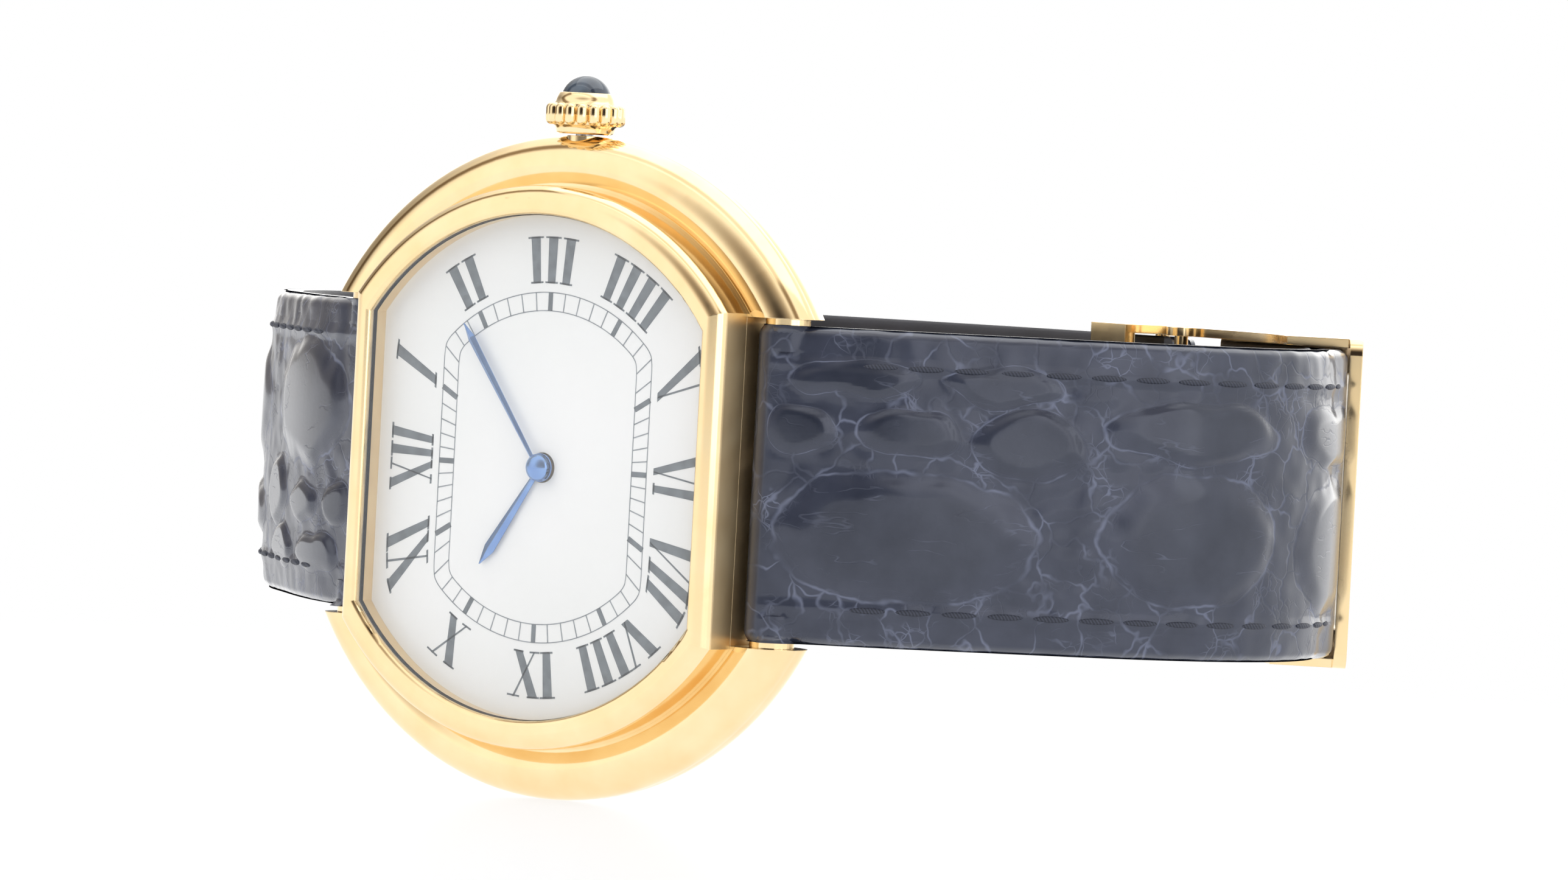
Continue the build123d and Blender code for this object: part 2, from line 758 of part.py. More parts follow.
def spiral_line(points):
    """Half circles from point to point, turning the same way."""
    arcs = []
    for number in range(len(points) - 1):
        start = points[number][0]
        end = points[number + 1][0]
        middle = (start + end) / 2
        radius = abs(start - end) / 2
        lift = radius if number % 2 == 0 else -radius
        arcs.append(ThreePointArc((start, 0), (middle, lift), (end, 0)))
    return arcs


def hairspring():
    """The balance spring, between the staff and the cock."""
    low = -hairspring_depth - hairspring_height
    spring = spiral_strip(hairspring_inner_radius, hairspring_pitch, hairspring_turns, hairspring_strip,
                          low, -hairspring_depth)
    collet = disk(hairspring_inner_radius + hairspring_strip / 2, low, -hairspring_depth)
    collet -= disk(arbor_radius + seat, low, -hairspring_depth)
    end_radius = hairspring_inner_radius + hairspring_pitch * hairspring_turns
    stud = block(end_radius - hairspring_strip, end_radius + hairspring_strip, -hairspring_strip * 2,
                 hairspring_strip * 2, bridge_top, -hairspring_depth)
    return Pos(*balance_at, 0) * (spring + collet + stud)


def barrel_drum():
    """The barrel drum with its teeth, open towards the bridge."""
    low = -barrel_depth - barrel_height
    high = -barrel_depth
    phase = bridge_split_angle + 180
    body = disk(barrel_drum_radius, low, high, *barrel_at)
    body += toothed(barrel_teeth, barrel_module, phase, low, low + barrel_tooth_height, *barrel_at)
    body -= disk(barrel_drum_radius - barrel_wall, low, high - barrel_wall, *barrel_at)
    return body - disk(barrel_pivot_radius + running_gap, low, high, *barrel_at)


def barrel_cover():
    """The lid that closes the drum."""
    low = -barrel_depth - barrel_height
    body = disk(barrel_drum_radius - barrel_wall - seat, low, low + barrel_cover_thickness, *barrel_at)
    return body - disk(barrel_pivot_radius + running_gap, low, low + barrel_cover_thickness, *barrel_at)


def mainspring():
    """The coiled mainspring between the arbor and the drum's wall."""
    low = -barrel_depth - barrel_height + barrel_cover_thickness + 2 * running_gap
    room = barrel_drum_radius - barrel_wall - barrel_arbor_radius
    pitch = (room - mainspring_strip * 2) / mainspring_turns
    spring = spiral_strip(barrel_arbor_radius + mainspring_strip, pitch, mainspring_turns, mainspring_strip,
                          low, low + mainspring_height)
    return Pos(*barrel_at, 0) * spring


def barrel_arbor():
    """The arbor that winds the mainspring, with the square under the ratchet wheel."""
    low = -barrel_depth - barrel_height + barrel_cover_thickness + running_gap
    high = -barrel_depth - barrel_wall - running_gap
    body = disk(barrel_arbor_radius, low, high, *barrel_at)
    body += disk(barrel_pivot_radius, high, plate_top, *barrel_at)
    return body + disk(barrel_pivot_radius, bridge_low - ratchet_thickness, low, *barrel_at)


def ratchet_wheel():
    """The ratchet wheel on top of the barrel arbor."""
    high = bridge_low - seat
    facing = math.degrees(math.atan2(crown_wheel_at[1] - barrel_at[1], crown_wheel_at[0] - barrel_at[0]))
    body = toothed(ratchet_teeth, winding_module, facing, high - ratchet_thickness, high, *barrel_at)
    return body - disk(barrel_pivot_radius, high - ratchet_thickness, high, *barrel_at)


def crown_wheel():
    """The crown wheel, which turns the ratchet wheel and meets the winding pinion from above."""
    high = bridge_low - seat
    low = high - crown_wheel_thickness
    facing = math.degrees(math.atan2(barrel_at[1] - crown_wheel_at[1], barrel_at[0] - crown_wheel_at[0]))
    phase = facing + full_turn / crown_wheel_teeth / 2
    body = toothed(crown_wheel_teeth, winding_module, phase, low, high, *crown_wheel_at)
    return body - disk(crown_wheel_hub_radius, low, high, *crown_wheel_at)


def crown_wheel_core():
    """The core and screw that the crown wheel turns on."""
    high = bridge_low
    low = high - crown_wheel_thickness - 2 * running_gap
    body = disk(crown_wheel_hub_radius - running_gap, low, high, *crown_wheel_at)
    slot = block(crown_wheel_at[0] - crown_wheel_hub_radius, crown_wheel_at[0] + crown_wheel_hub_radius,
                 -screw_slot_width / 2, screw_slot_width / 2, low, low + screw_slot_depth)
    return body - slot


def click():
    """The click that stops the ratchet wheel from running back."""
    high = bridge_low - seat
    low = high - click_thickness
    point_radius = ratchet_teeth * winding_module / 2 + winding_module
    nose = polar(point_radius, click_direction - click_nose_turn, *barrel_at)
    run = math.dist(click_at, nose)
    turn = math.degrees(math.atan2(nose[1] - click_at[1], nose[0] - click_at[0]))
    finger = Polyline((0, -click_radius * click_root_share), (run, -click_tip_width), (run, click_tip_width),
                      (0, click_radius * click_root_share), close=True)
    blade = Pos(*click_at, low) * Rot(0, 0, turn) * extrude(make_face(finger), click_thickness, dir=(0, 0, 1))
    body = disk(click_radius, low, high, *click_at) + blade
    return body - disk(pivot_radius + running_gap, low, high, *click_at)


def click_screw():
    """The shouldered screw that the click rocks on."""
    low = bridge_low - seat - click_thickness - running_gap
    head = disk(screw_shank_radius, low - screw_slot_depth, low, *click_at)
    return head + disk(pivot_radius, low, bridge_low, *click_at)


def winding_pinion():
    """The pinion that the stem turns when the crown is wound."""
    start = winding_reach
    body = toothed(winding_teeth, winding_module, full_turn / winding_teeth / 2, 0, winding_length)
    body -= disk(stem_radius + running_gap, 0, winding_length)
    return Pos(start, 0, -stem_depth) * Rot(0, 90, 0) * body


def sliding_pinion():
    """The pinion that slides on the stem's square to set the hands."""
    start = winding_reach - running_gap - sliding_length
    body = toothed(winding_teeth, winding_module, 0, 0, sliding_length * sliding_band_share)
    body += disk(sliding_hub_radius, 0, sliding_length)
    half_bore = stem_square / 2 + running_gap
    body -= block(-half_bore, half_bore, -half_bore, half_bore, 0, sliding_length)
    return Pos(start, 0, -stem_depth) * Rot(0, 90, 0) * body


def setting_slide():
    """The plate whose pin rides in the stem's groove and moves with it when the crown is pulled."""
    high = -stem_depth - stem_radius - 2 * running_gap
    start = slide_start()
    body = block(start, start + slide_length, -slide_width / 2, slide_width / 2, high - slide_thickness, high)
    pin_start = start + (slide_length - slide_pin_width) / 2
    pin_top = -stem_depth - stem_radius + stem_groove_depth - running_gap
    half_pin = slide_pin_width / 2
    return body + block(pin_start, pin_start + slide_pin_width, -half_pin, half_pin, high, pin_top)


def slide_start():
    """Where the setting slide begins, just outside the winding pinion."""
    return winding_reach + winding_length + 4 * running_gap


def winding_stem():
    """The stem: a square for the sliding pinion, a round part, and a groove for the setting slide's pin."""
    square_end = winding_reach - running_gap
    body = rod_x(stem_radius, square_end, crown_start() + crown_bore_depth, z=-stem_depth)
    half_square = stem_square / 2
    body += block(stem_inner_reach, square_end, -half_square, half_square, -stem_depth - half_square,
                  half_square - stem_depth)
    groove_start = slide_start() + (slide_length - stem_groove_width) / 2
    groove_end = groove_start + stem_groove_width
    groove = rod_x(stem_radius + overrun, groove_start, groove_end, z=-stem_depth)
    groove -= rod_x(stem_radius - stem_groove_depth, groove_start, groove_end, z=-stem_depth)
    return body - groove


def crown_start():
    """Where the crown begins when it is pushed in."""
    return case_radius + crown_gap


def crown():
    """The crown: a neck, a band of beads and a collar that holds the stone."""
    start = crown_start()
    band_start = start + crown_neck_length
    collar_start = band_start + crown_band_length
    body = rod_x(crown_neck_radius, start, band_start, z=-stem_depth)
    body += rod_x(crown_band_radius, band_start, collar_start, z=-stem_depth)
    for bead in range(crown_bead_count):
        y, z = polar(crown_band_radius, bead * full_turn / crown_bead_count)
        body += rod_x(crown_bead_radius, band_start, collar_start, y, z - stem_depth)
    collar = Cone(crown_collar_radius, crown_collar_top_radius, crown_collar_length,
                  align=standing)
    body += Pos(collar_start, 0, -stem_depth) * Rot(0, 90, 0) * collar
    top = collar_start + crown_collar_length
    body -= rod_x(cabochon_radius, top - cabochon_seat_depth, top, z=-stem_depth)
    return body - rod_x(stem_radius, start, start + crown_bore_depth, z=-stem_depth)


def crown_cabochon():
    """The domed stone in the crown."""
    top = crown_start() + crown_neck_length + crown_band_length + crown_collar_length
    rim = cabochon_radius - seat
    ball_radius = (rim ** 2 + cabochon_rise ** 2) / (2 * cabochon_rise)
    half_turn = math.asin(rim / ball_radius) / 2
    shoulder = (ball_radius * math.sin(half_turn), 0, cabochon_rise - ball_radius * (1 - math.cos(half_turn)))
    dome = ThreePointArc((rim, 0, 0), shoulder, (0, 0, cabochon_rise))
    low = -cabochon_seat_depth
    edge = Polyline((0, 0, cabochon_rise), (0, 0, low), (rim, 0, low), (rim, 0, 0))
    return Pos(top, 0, -stem_depth) * Rot(0, 90, 0) * revolve(make_face([dome, edge]), Axis.Z)


def cannon_pinion():
    """The cannon pinion that carries the minute hand."""
    high = minute_hand_rise
    phase = minute_wheel_direction
    body = toothed(cannon_leaves, motion_module, phase, plate_top + running_gap, plate_top + motion_space / 3)
    body += disk(cannon_radius, plate_top + motion_space / 3, high)
    return body - disk(centre_arbor_radius + running_gap, plate_top, high)


def minute_wheel():
    """The minute wheel and its pinion, under the dial."""
    phase = minute_wheel_direction + 180 + full_turn / minute_wheel_teeth / 2
    low = plate_top + running_gap
    middle = plate_top + motion_space / 3
    body = toothed(minute_wheel_teeth, motion_module, phase, low, middle, *minute_wheel_at)
    body += toothed(minute_pinion_leaves, motion_module, minute_wheel_direction + 180, middle,
                    dial_low - 2 * running_gap, *minute_wheel_at)
    return body + disk(arbor_radius, plate_low + jewel_thickness, low, *minute_wheel_at)


def hour_wheel():
    """The hour wheel on its pipe, round the cannon pinion."""
    low = plate_top + motion_space / 3 + running_gap
    high = low + motion_space / 4
    phase = minute_wheel_direction + full_turn / hour_wheel_teeth / 2
    body = toothed(hour_wheel_teeth, motion_module, phase, low, high)
    body += disk(hour_pipe_radius, high, hour_hand_rise)
    return body - disk(cannon_radius + running_gap, low, hour_hand_rise)


def hand(length, tail, widest, neck, widest_share, bore, low, angle):
    """A leaf-shaped hand with a round hub, pointing at an angle from 12 towards 3."""
    outline = Polyline((neck, 0), (widest / 2, length * widest_share), (0, length),
                       (-widest / 2, length * widest_share), (-neck, 0), (-neck / 2, -tail),
                       (neck / 2, -tail), close=True)
    body = extrude(make_face(outline), hand_thickness, dir=(0, 0, 1))
    body += disk(hand_hub_radius, 0, hand_thickness)
    body -= disk(bore, 0, hand_thickness)
    return Rot(0, 0, -angle) * Pos(0, 0, low) * body


def hour_hand():
    """The blued hour hand."""
    return hand(hour_hand_length, hour_hand_tail, hour_hand_widest, hour_hand_neck, hour_hand_widest_share,
                cannon_radius + running_gap, hour_hand_rise, hour_hand_angle)


def minute_hand():
    """The blued minute hand with its domed boss."""
    body = hand(minute_hand_length, minute_hand_tail, minute_hand_widest, minute_hand_neck,
                minute_hand_widest_share, minute_hand_bore, minute_hand_rise, minute_hand_angle)
    boss = Cone(boss_radius, boss_radius * boss_top_share, boss_rise, align=standing)
    return body + Pos(0, 0, minute_hand_rise) * boss


# Strap and clasp, drawn in the plane of the loop. A point is (towards 6, height), so that
# the 6 o'clock half is drawn as it lies and mirrored for 12.
def loop_point(angle, inset, half_length=loop_half_length):
    """A point on the loop, a distance inside its outer face."""
    turn = math.radians(angle)
    outward = (half_length - inset) * math.cos(turn)
    return (outward, -loop_depth - (loop_half_height - inset) * math.sin(turn))


def loop_run(start, end, inset, steps, half_length=loop_half_length):
    """Points along the loop between two angles."""
    angles = [start + (end - start) * step / steps for step in range(steps + 1)]
    return [loop_point(angle, inset, half_length) for angle in angles]


def loop_solid(outline, x_low, x_high):
    """A closed outline in the plane of the loop, given its width along the crown's axis."""
    face = make_face(outline)
    solid = extrude(face, x_high - x_low, dir=(0, 0, 1))
    return Pos(x_high, 0, 0) * (Plane(origin=(0, 0, 0), x_dir=(0, -1, 0), z_dir=(-1, 0, 0)).location * solid)


def loop_plate(start, end, outer, inner, x_low, x_high, steps=6):
    """A curved plate along the loop between two insets."""
    outside = Spline(*loop_run(start, end, outer, steps))
    inside = Spline(*loop_run(start, end, inner, steps))
    ends = [Line(outside @ 0, inside @ 0), Line(outside @ 1, inside @ 1)]
    return loop_solid([outside, inside] + ends, x_low, x_high)


def loop_rod(point, radius, x_low, x_high):
    """A cylinder across the strap at a point of the loop's plane."""
    return rod_x(radius, x_low, x_high, -point[0], point[1])


def strap_outline(tip_angle, outer, inner, half_length):
    """The side view of one strap layer, from the bar to the tip."""
    join = loop_join_angle
    outside = [(bar_offset, outer_lug_height(outer))] + loop_run(join, tip_angle, outer, 8, half_length)
    inside = [(bar_offset, outer_lug_height(inner))] + loop_run(join, tip_angle, inner, 8, half_length)
    ends = [(1.0, -strap_end_slope_share), loop_tangent(tip_angle, half_length)]
    outer_line = Spline(*outside, tangents=ends)
    inner_line = Spline(*inside, tangents=ends)
    return outer_line, inner_line


def loop_tangent(angle, half_length):
    """The direction of the loop at an angle."""
    turn = math.radians(angle)
    return (-half_length * math.sin(turn), -loop_half_height * math.cos(turn))


def outer_lug_height(inset):
    """The height of a layer's face over the bar, where the strap is padded."""
    share = inset / strap_thickness
    return -bar_depth + strap_end_radius * (1 - 2 * share)


def strap_upper(tip_angle, half_length=loop_half_length):
    """The upper leather, folded round the bar and cut back at the fold's corners."""
    split = strap_thickness - lining_thickness
    outer_line, inner_line = strap_outline(tip_angle, 0, split, half_length)
    tip = Line(outer_line @ 1, inner_line @ 1)
    top = (bar_offset, outer_lug_height(0))
    nose = (bar_offset - strap_end_radius, -bar_depth)
    foot = (bar_offset, -bar_depth - strap_end_radius)
    fold = ThreePointArc(top, nose, foot)
    drop = Line(foot, inner_line @ 0)
    body = loop_solid([outer_line, tip, inner_line, drop, fold], -strap_half_width, strap_half_width)
    bore = bar_radius + bar_bore_gap
    body -= loop_rod((bar_offset, -bar_depth), bore, -notch_half_width, notch_half_width)
    return body - fold_notches()


def fold_notches():
    """The pieces cut from the fold's two corners, which make room for the lugs."""
    cuts = block(strap_half_width - fold_notch_width, notch_half_width, -bar_offset - fold_notch_length,
                 -bar_offset + strap_end_radius + overrun, case_low, bezel_rise)
    return cuts + mirror(cuts, Plane.YZ)


def strap_lining(tip_angle, half_length=loop_half_length):
    """The lining leather against the wrist."""
    split = strap_thickness - lining_thickness
    outer_line, inner_line = strap_outline(tip_angle, split, strap_thickness, half_length)
    ends = [Line(outer_line @ 0, inner_line @ 0), Line(outer_line @ 1, inner_line @ 1)]
    return loop_solid([outer_line, inner_line] + ends, -strap_half_width, strap_half_width) - fold_notches()


def to_12(shape):
    """Mirrors a piece of the 6 o'clock half to the 12 o'clock side."""
    return mirror(shape, Plane.XZ)


def strap_12_upper():
    """The upper leather of the 12 half, cut open at its tip for the end bar."""
    body = to_12(strap_upper(180 - strap_12_tip_angle, loop_12_half_length))
    point = loop_point(ear_angle, ear_inset)
    return body - loop_rod(point, end_bar_radius, -notch_half_width, notch_half_width)


def strap_end_bar():
    """The bar in the tip of the 12 half, which the clasp's base hooks onto."""
    return loop_rod(loop_point(ear_angle, ear_inset), end_bar_radius - seat, -end_bar_half_length,
                    end_bar_half_length)


def spring_bar(side):
    """A spring bar: a body in the strap's fold and a thin tip in each lug."""
    reach = lug_face + bar_tip_length - seat
    body = rod_x(bar_radius, seat - lug_face, lug_face - seat, side * bar_offset, -bar_depth)
    return body + rod_x(bar_tip_radius, -reach, reach, side * bar_offset, -bar_depth)


def clasp_frame():
    """The open frame over the 6 half's tip, with a rail down each side."""
    outer = -clasp_plate_gap - clasp_plate_thickness
    body = loop_plate(clasp_start_angle, clasp_end_angle, outer, -clasp_plate_gap,
                      -clasp_half_width, clasp_half_width)
    body = fillet(body.edges().sort_by(SortBy.LENGTH)[0:4], clasp_corner_radius)
    margin = clasp_window_margin_angle
    body -= loop_plate(clasp_start_angle + margin, clasp_end_angle - margin, outer - overrun, overrun,
                       -clasp_window_half_width, clasp_window_half_width)
    # The rails start halfway into the plate, so that they join it through its lower face
    root = -clasp_plate_gap - clasp_plate_thickness / 2
    for side in (1, -1):
        edges = sorted((side * (clasp_half_width - clasp_rail_width), side * clasp_half_width))
        body += loop_plate(clasp_start_angle + clasp_rail_end_angle, clasp_end_angle - clasp_rail_end_angle,
                           root, clasp_rail_inset, *edges)
        body += loop_rod(loop_point(hinge_a_angle, hinge_a_inset), hinge_radius, *edges)
    return body - loop_rod(loop_point(hinge_a_angle, hinge_a_inset), pin_radius, -clasp_half_width - overrun,
                           clasp_half_width + overrun)


def clasp_pin_a():
    """The pin that joins the frame and the middle blade."""
    a_point = loop_point(hinge_a_angle, hinge_a_inset)
    return loop_rod(a_point, pin_radius - seat, -clasp_half_width, clasp_half_width)


def clasp_middle_blade():
    """The middle blade, with a knuckle across at one end and two at the other."""
    a_point = loop_point(hinge_a_angle, hinge_a_inset)
    b_point = loop_point(hinge_b_angle, hinge_b_inset)
    inner = middle_inset + blade_thickness
    body = loop_plate(hinge_b_angle, hinge_a_angle, middle_inset, inner, -blade_half_width, blade_half_width)
    half_room = hinge_half_split + hinge_gap
    body -= loop_rod(b_point, hinge_radius + hinge_gap, -half_room, half_room)
    body += loop_rod(a_point, hinge_radius, -blade_half_width, blade_half_width)
    for side in (1, -1):
        edges = sorted((side * half_room, side * blade_half_width))
        body += loop_rod(b_point, hinge_radius, *edges)
    body -= loop_rod(a_point, pin_radius + running_gap, -clasp_half_width, clasp_half_width)
    return body - loop_rod(b_point, pin_radius, -clasp_half_width, clasp_half_width)


def clasp_pin_b():
    """The pin that joins the middle blade and the base blade."""
    b_point = loop_point(hinge_b_angle, hinge_b_inset)
    return loop_rod(b_point, pin_radius - seat, -blade_half_width, blade_half_width)


def clasp_base_blade():
    """The base blade against the wrist, with an open hook at each side for the 12 half's bar."""
    b_point = loop_point(hinge_b_angle, hinge_b_inset)
    inner = base_inset + blade_thickness
    start = hinge_b_angle + base_start_turn
    body = loop_plate(start, ear_angle + ear_turn, base_inset, inner, -blade_half_width, blade_half_width)
    body += loop_plate(hinge_b_angle, start, base_inset, inner, -hinge_half_split, hinge_half_split, 2)
    body += loop_rod(b_point, hinge_radius, -hinge_half_split, hinge_half_split)
    body += loop_plate(ear_angle - ear_turn, ear_angle + ear_turn, base_inset, inner,
                       -clasp_half_width, clasp_half_width, 2)
    for side in (1, -1):
        edges = sorted((side * (clasp_half_width - clasp_rail_width), side * clasp_half_width))
        body += loop_plate(ear_angle - ear_turn, ear_angle, ear_inset - end_bar_radius, inner, *edges, 2)
        seat_inset = ear_inset + end_bar_radius + hinge_gap
        body += loop_plate(ear_angle, ear_angle + ear_turn, seat_inset, inner, *edges, 2)
    reach = clasp_half_width + overrun
    body -= loop_rod(loop_point(ear_angle, ear_inset), end_bar_radius + hinge_gap, -reach, reach)
    return body - loop_rod(b_point, pin_radius + running_gap, -hinge_half_split, hinge_half_split)


def in_row(shape):
    """Turns a piece from the drawing onto the 9 o'clock edge, with the case back at the origin."""
    moved = Pos(0, 0, back_depth) * shape
    return Plane(origin=(0, 0, 0), x_dir=(0, 0, 1), z_dir=(0, -1, 0)).location * moved


def pieces():
    """Every node's name and shape, in the drawing's own axes."""
    return {
        "case_ring": case_ring(),
        "bezel": bezel(),
        "crystal_gasket": crystal_gasket(seat),
        "crystal": crystal(),
        "dial": dial(),
        "case_back": case_back(),
        "back_gasket": gasket_ring(seat),
        "movement_ring": movement_ring(),
        "crown_tube": crown_tube(),
        "main_plate": main_plate(),
        "barrel_bridge": barrel_bridge(),
        "train_bridge": train_bridge(),
        "balance_cock": balance_cock(),
        "fork_bridge": fork_bridge(),
        "bridge_screws": bridge_screws(),
        "jewels": jewels(),
        "crown_wheel_core": crown_wheel_core(),
        "click_screw": click_screw(),
        "spring_bar_12": spring_bar(1),
        "spring_bar_6": spring_bar(-1),
        "minute_hand": minute_hand(),
        "cannon_pinion": cannon_pinion(),
        "hour_hand": hour_hand(),
        "hour_wheel": hour_wheel(),
        "minute_wheel": minute_wheel(),
        "centre_wheel": centre_wheel(),
        "third_wheel": third_wheel(),
        "fourth_wheel": fourth_wheel(),
        "escape_wheel": escape_wheel(),
        "pallet_fork": pallet_fork(),
        "balance_wheel": balance_wheel(),
        "hairspring": hairspring(),
        "barrel_drum": barrel_drum(),
        "barrel_cover": barrel_cover(),
        "mainspring": mainspring(),
        "barrel_arbor": barrel_arbor(),
        "ratchet_wheel": ratchet_wheel(),
        "crown_wheel": crown_wheel(),
        "click": click(),
        "winding_pinion": winding_pinion(),
        "sliding_pinion": sliding_pinion(),
        "setting_slide": setting_slide(),
        "winding_stem": winding_stem(),
        "crown": crown(),
        "crown_cabochon": crown_cabochon(),
        "strap_12_upper": strap_12_upper(),
        "strap_12_lining": to_12(strap_lining(180 - strap_12_tip_angle, loop_12_half_length)),
        "strap_end_bar": strap_end_bar(),
        "strap_6_upper": strap_upper(strap_6_tip_angle),
        "strap_6_lining": strap_lining(strap_6_tip_angle),
        "clasp_frame": clasp_frame(),
        "clasp_pin_a": clasp_pin_a(),
        "clasp_middle_blade": clasp_middle_blade(),
        "clasp_pin_b": clasp_pin_b(),
        "clasp_base_blade": clasp_base_blade(),
    }


for name, shape in pieces().items():
    solids = shape if isinstance(shape, list) else shape.solids()
    export_step(Compound([in_row(solid) for solid in solids]), "parts/" + name + ".step")
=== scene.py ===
import json
import math

import bpy
from mathutils import Matrix, Vector, noise


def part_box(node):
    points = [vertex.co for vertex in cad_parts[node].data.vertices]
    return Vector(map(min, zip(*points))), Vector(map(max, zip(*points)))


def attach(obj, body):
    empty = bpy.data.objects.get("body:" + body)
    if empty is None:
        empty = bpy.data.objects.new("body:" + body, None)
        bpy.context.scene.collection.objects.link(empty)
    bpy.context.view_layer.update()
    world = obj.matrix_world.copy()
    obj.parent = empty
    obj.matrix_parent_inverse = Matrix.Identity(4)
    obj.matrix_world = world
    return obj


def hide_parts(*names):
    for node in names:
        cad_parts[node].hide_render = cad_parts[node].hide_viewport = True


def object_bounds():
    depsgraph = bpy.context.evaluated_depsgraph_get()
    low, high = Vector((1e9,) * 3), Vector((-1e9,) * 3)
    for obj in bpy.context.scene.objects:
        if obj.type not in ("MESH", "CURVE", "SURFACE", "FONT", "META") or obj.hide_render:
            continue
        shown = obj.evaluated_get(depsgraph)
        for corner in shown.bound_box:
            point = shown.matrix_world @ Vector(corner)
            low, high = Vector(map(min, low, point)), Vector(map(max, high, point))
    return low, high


# A dress watch in yellow gold on a glazed reptile-grain strap, standing on its 9 o'clock edge.
# Sizes are in millimetres and are turned to metres by MM where a mesh is made. The row frame
# has +X towards 6 o'clock, +Z towards 3 o'clock and the crown, and the dial faces -Y.
MM = 0.001
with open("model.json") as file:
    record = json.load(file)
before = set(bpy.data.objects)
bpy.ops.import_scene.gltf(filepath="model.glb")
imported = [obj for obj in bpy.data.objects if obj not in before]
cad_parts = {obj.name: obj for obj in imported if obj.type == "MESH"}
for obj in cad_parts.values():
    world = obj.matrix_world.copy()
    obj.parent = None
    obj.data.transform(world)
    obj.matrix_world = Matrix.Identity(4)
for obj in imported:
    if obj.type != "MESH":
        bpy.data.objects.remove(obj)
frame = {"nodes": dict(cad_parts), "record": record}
nodes = frame["nodes"]
cad_low, cad_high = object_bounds()

# Sizes shared with the case and the strap
back_depth = 4.6
strap_half_width = 7.7
loop_half_length = 30.0
loop_12_half_length = 31.1
loop_half_height = 19.8
loop_depth = 21.8
strap_thickness = 2.2
lining_thickness = 0.55
strap_end_radius = 1.38
strap_end_slope = 0.35
bar_offset = 12.65
bar_depth = 2.35
fold_notch_width = 1.3
fold_notch_length = 1.6
loop_join_angle = -36.0
strap_6_tip_angle = 55.0
strap_12_tip_angle = 113.0


def colour(code, alpha=1.0):
    """An sRGB hex value as linear light."""
    parts = [int(code[i:i + 2], 16) / 255 for i in (0, 2, 4)]
    linear = [c / 12.92 if c <= 0.04045 else ((c + 0.055) / 1.055) ** 2.4 for c in parts]
    return linear + [alpha]


def on_dial(x, y, z):
    """A place seen from the front (3 o'clock is +x, 12 is +y, z rises from the dial), in the row frame."""
    return Vector((-y, -(z + back_depth), x)) * MM


# Materials

smooth = {"interpolation_type": "SMOOTHSTEP"}


def add(tree, kind, inputs=None, stops=(), **settings):
    """Adds a node with its settings, its inputs linked or filled, and a ramp's (position, hex) stops.

    A node given as an input is linked by its first output.
    """
    node = tree.nodes.new("ShaderNode" + kind)
    for name, value in settings.items():
        setattr(node, name, value)
    for name, value in (inputs or {}).items():
        if isinstance(value, bpy.types.Node):
            value = value.outputs[0]
        if isinstance(value, bpy.types.NodeSocket):
            tree.links.new(value, node.inputs[name])
        else:
            node.inputs[name].default_value = value
    if stops:
        elements = node.color_ramp.elements
        for end, (position, code) in ((0, stops[0]), (1, stops[-1])):
            elements[end].position, elements[end].color = position, colour(code)
        for position, code in stops[1:-1]:
            elements.new(position).color = colour(code)
    return node


def new_material(name):
    """An empty node material, with its tree and its Object coordinates."""
    material = bpy.data.materials.new(name)
    material.use_nodes = True
    tree = material.node_tree
    tree.nodes.clear()
    return material, tree, add(tree, "TexCoord").outputs["Object"]


def clouded(name, scale, detail, stops, finish, gloss=None):
    """A plain material whose colour drifts a little, and its roughness too where gloss gives two ends."""
    material, tree, place = new_material(name)
    drift = add(tree, "TexNoise", {"Vector": place, "Scale": scale, "Detail": detail})
    inputs = {"Base Color": add(tree, "ValToRGB", {"Fac": drift}, stops), **finish}
    if gloss:
        inputs["Roughness"] = add(tree, "MapRange", {"Value": drift, "To Min": gloss[0], "To Max": gloss[1]})
    shader = add(tree, "BsdfPrincipled", inputs)
    add(tree, "OutputMaterial", {"Surface": shader})
    return material


def polished_gold():
    """18 carat yellow gold, buffed to a mirror: pale in the light, deep amber where it reflects itself."""
    material, tree, place = new_material("polished_yellow_gold")
    # Wiping marks, a few millimetres long, that only break up the gloss a little
    wipe = add(tree, "TexNoise", {"Vector": place, "Scale": 420.0, "Detail": 4.0})
    tint = add(tree, "ValToRGB", {"Fac": wipe}, [(0.3, "f2d5a3"), (0.7, "f7dfb2")])
    # The flats at 6 and 12 o'clock are satin, so that they blur what they face
    facing = add(tree, "SeparateXYZ", {0: add(tree, "NewGeometry").outputs["True Normal"]}).outputs["X"]
    squared = add(tree, "Math", {0: facing, 1: facing}, operation="MULTIPLY")
    satin = add(tree, "MapRange", {"Value": squared, "From Min": 0.96, "From Max": 0.99, "To Max": 0.3},
                **smooth)
    polish = add(tree, "MapRange", {"Value": wipe, "To Min": 0.07, "To Max": 0.15})
    gloss = add(tree, "Math", {0: polish, 1: satin}, operation="ADD")
    # Edges broken by the buffing wheel, about 0.06 mm round
    eased = add(tree, "Bevel", {"Radius": 0.00006}, samples=4)
    shader = add(tree, "BsdfPrincipled", {"Base Color": tint, "Metallic": 1.0, "Roughness": gloss,
                                          "Normal": eased})
    add(tree, "OutputMaterial", {"Surface": shader})
    return material


# The grain of brushed metal: its fineness, how far it is drawn out, and how much its roughness varies
brush_grain = 9000.0
brush_stretch = 40
brush_spread = 0.15


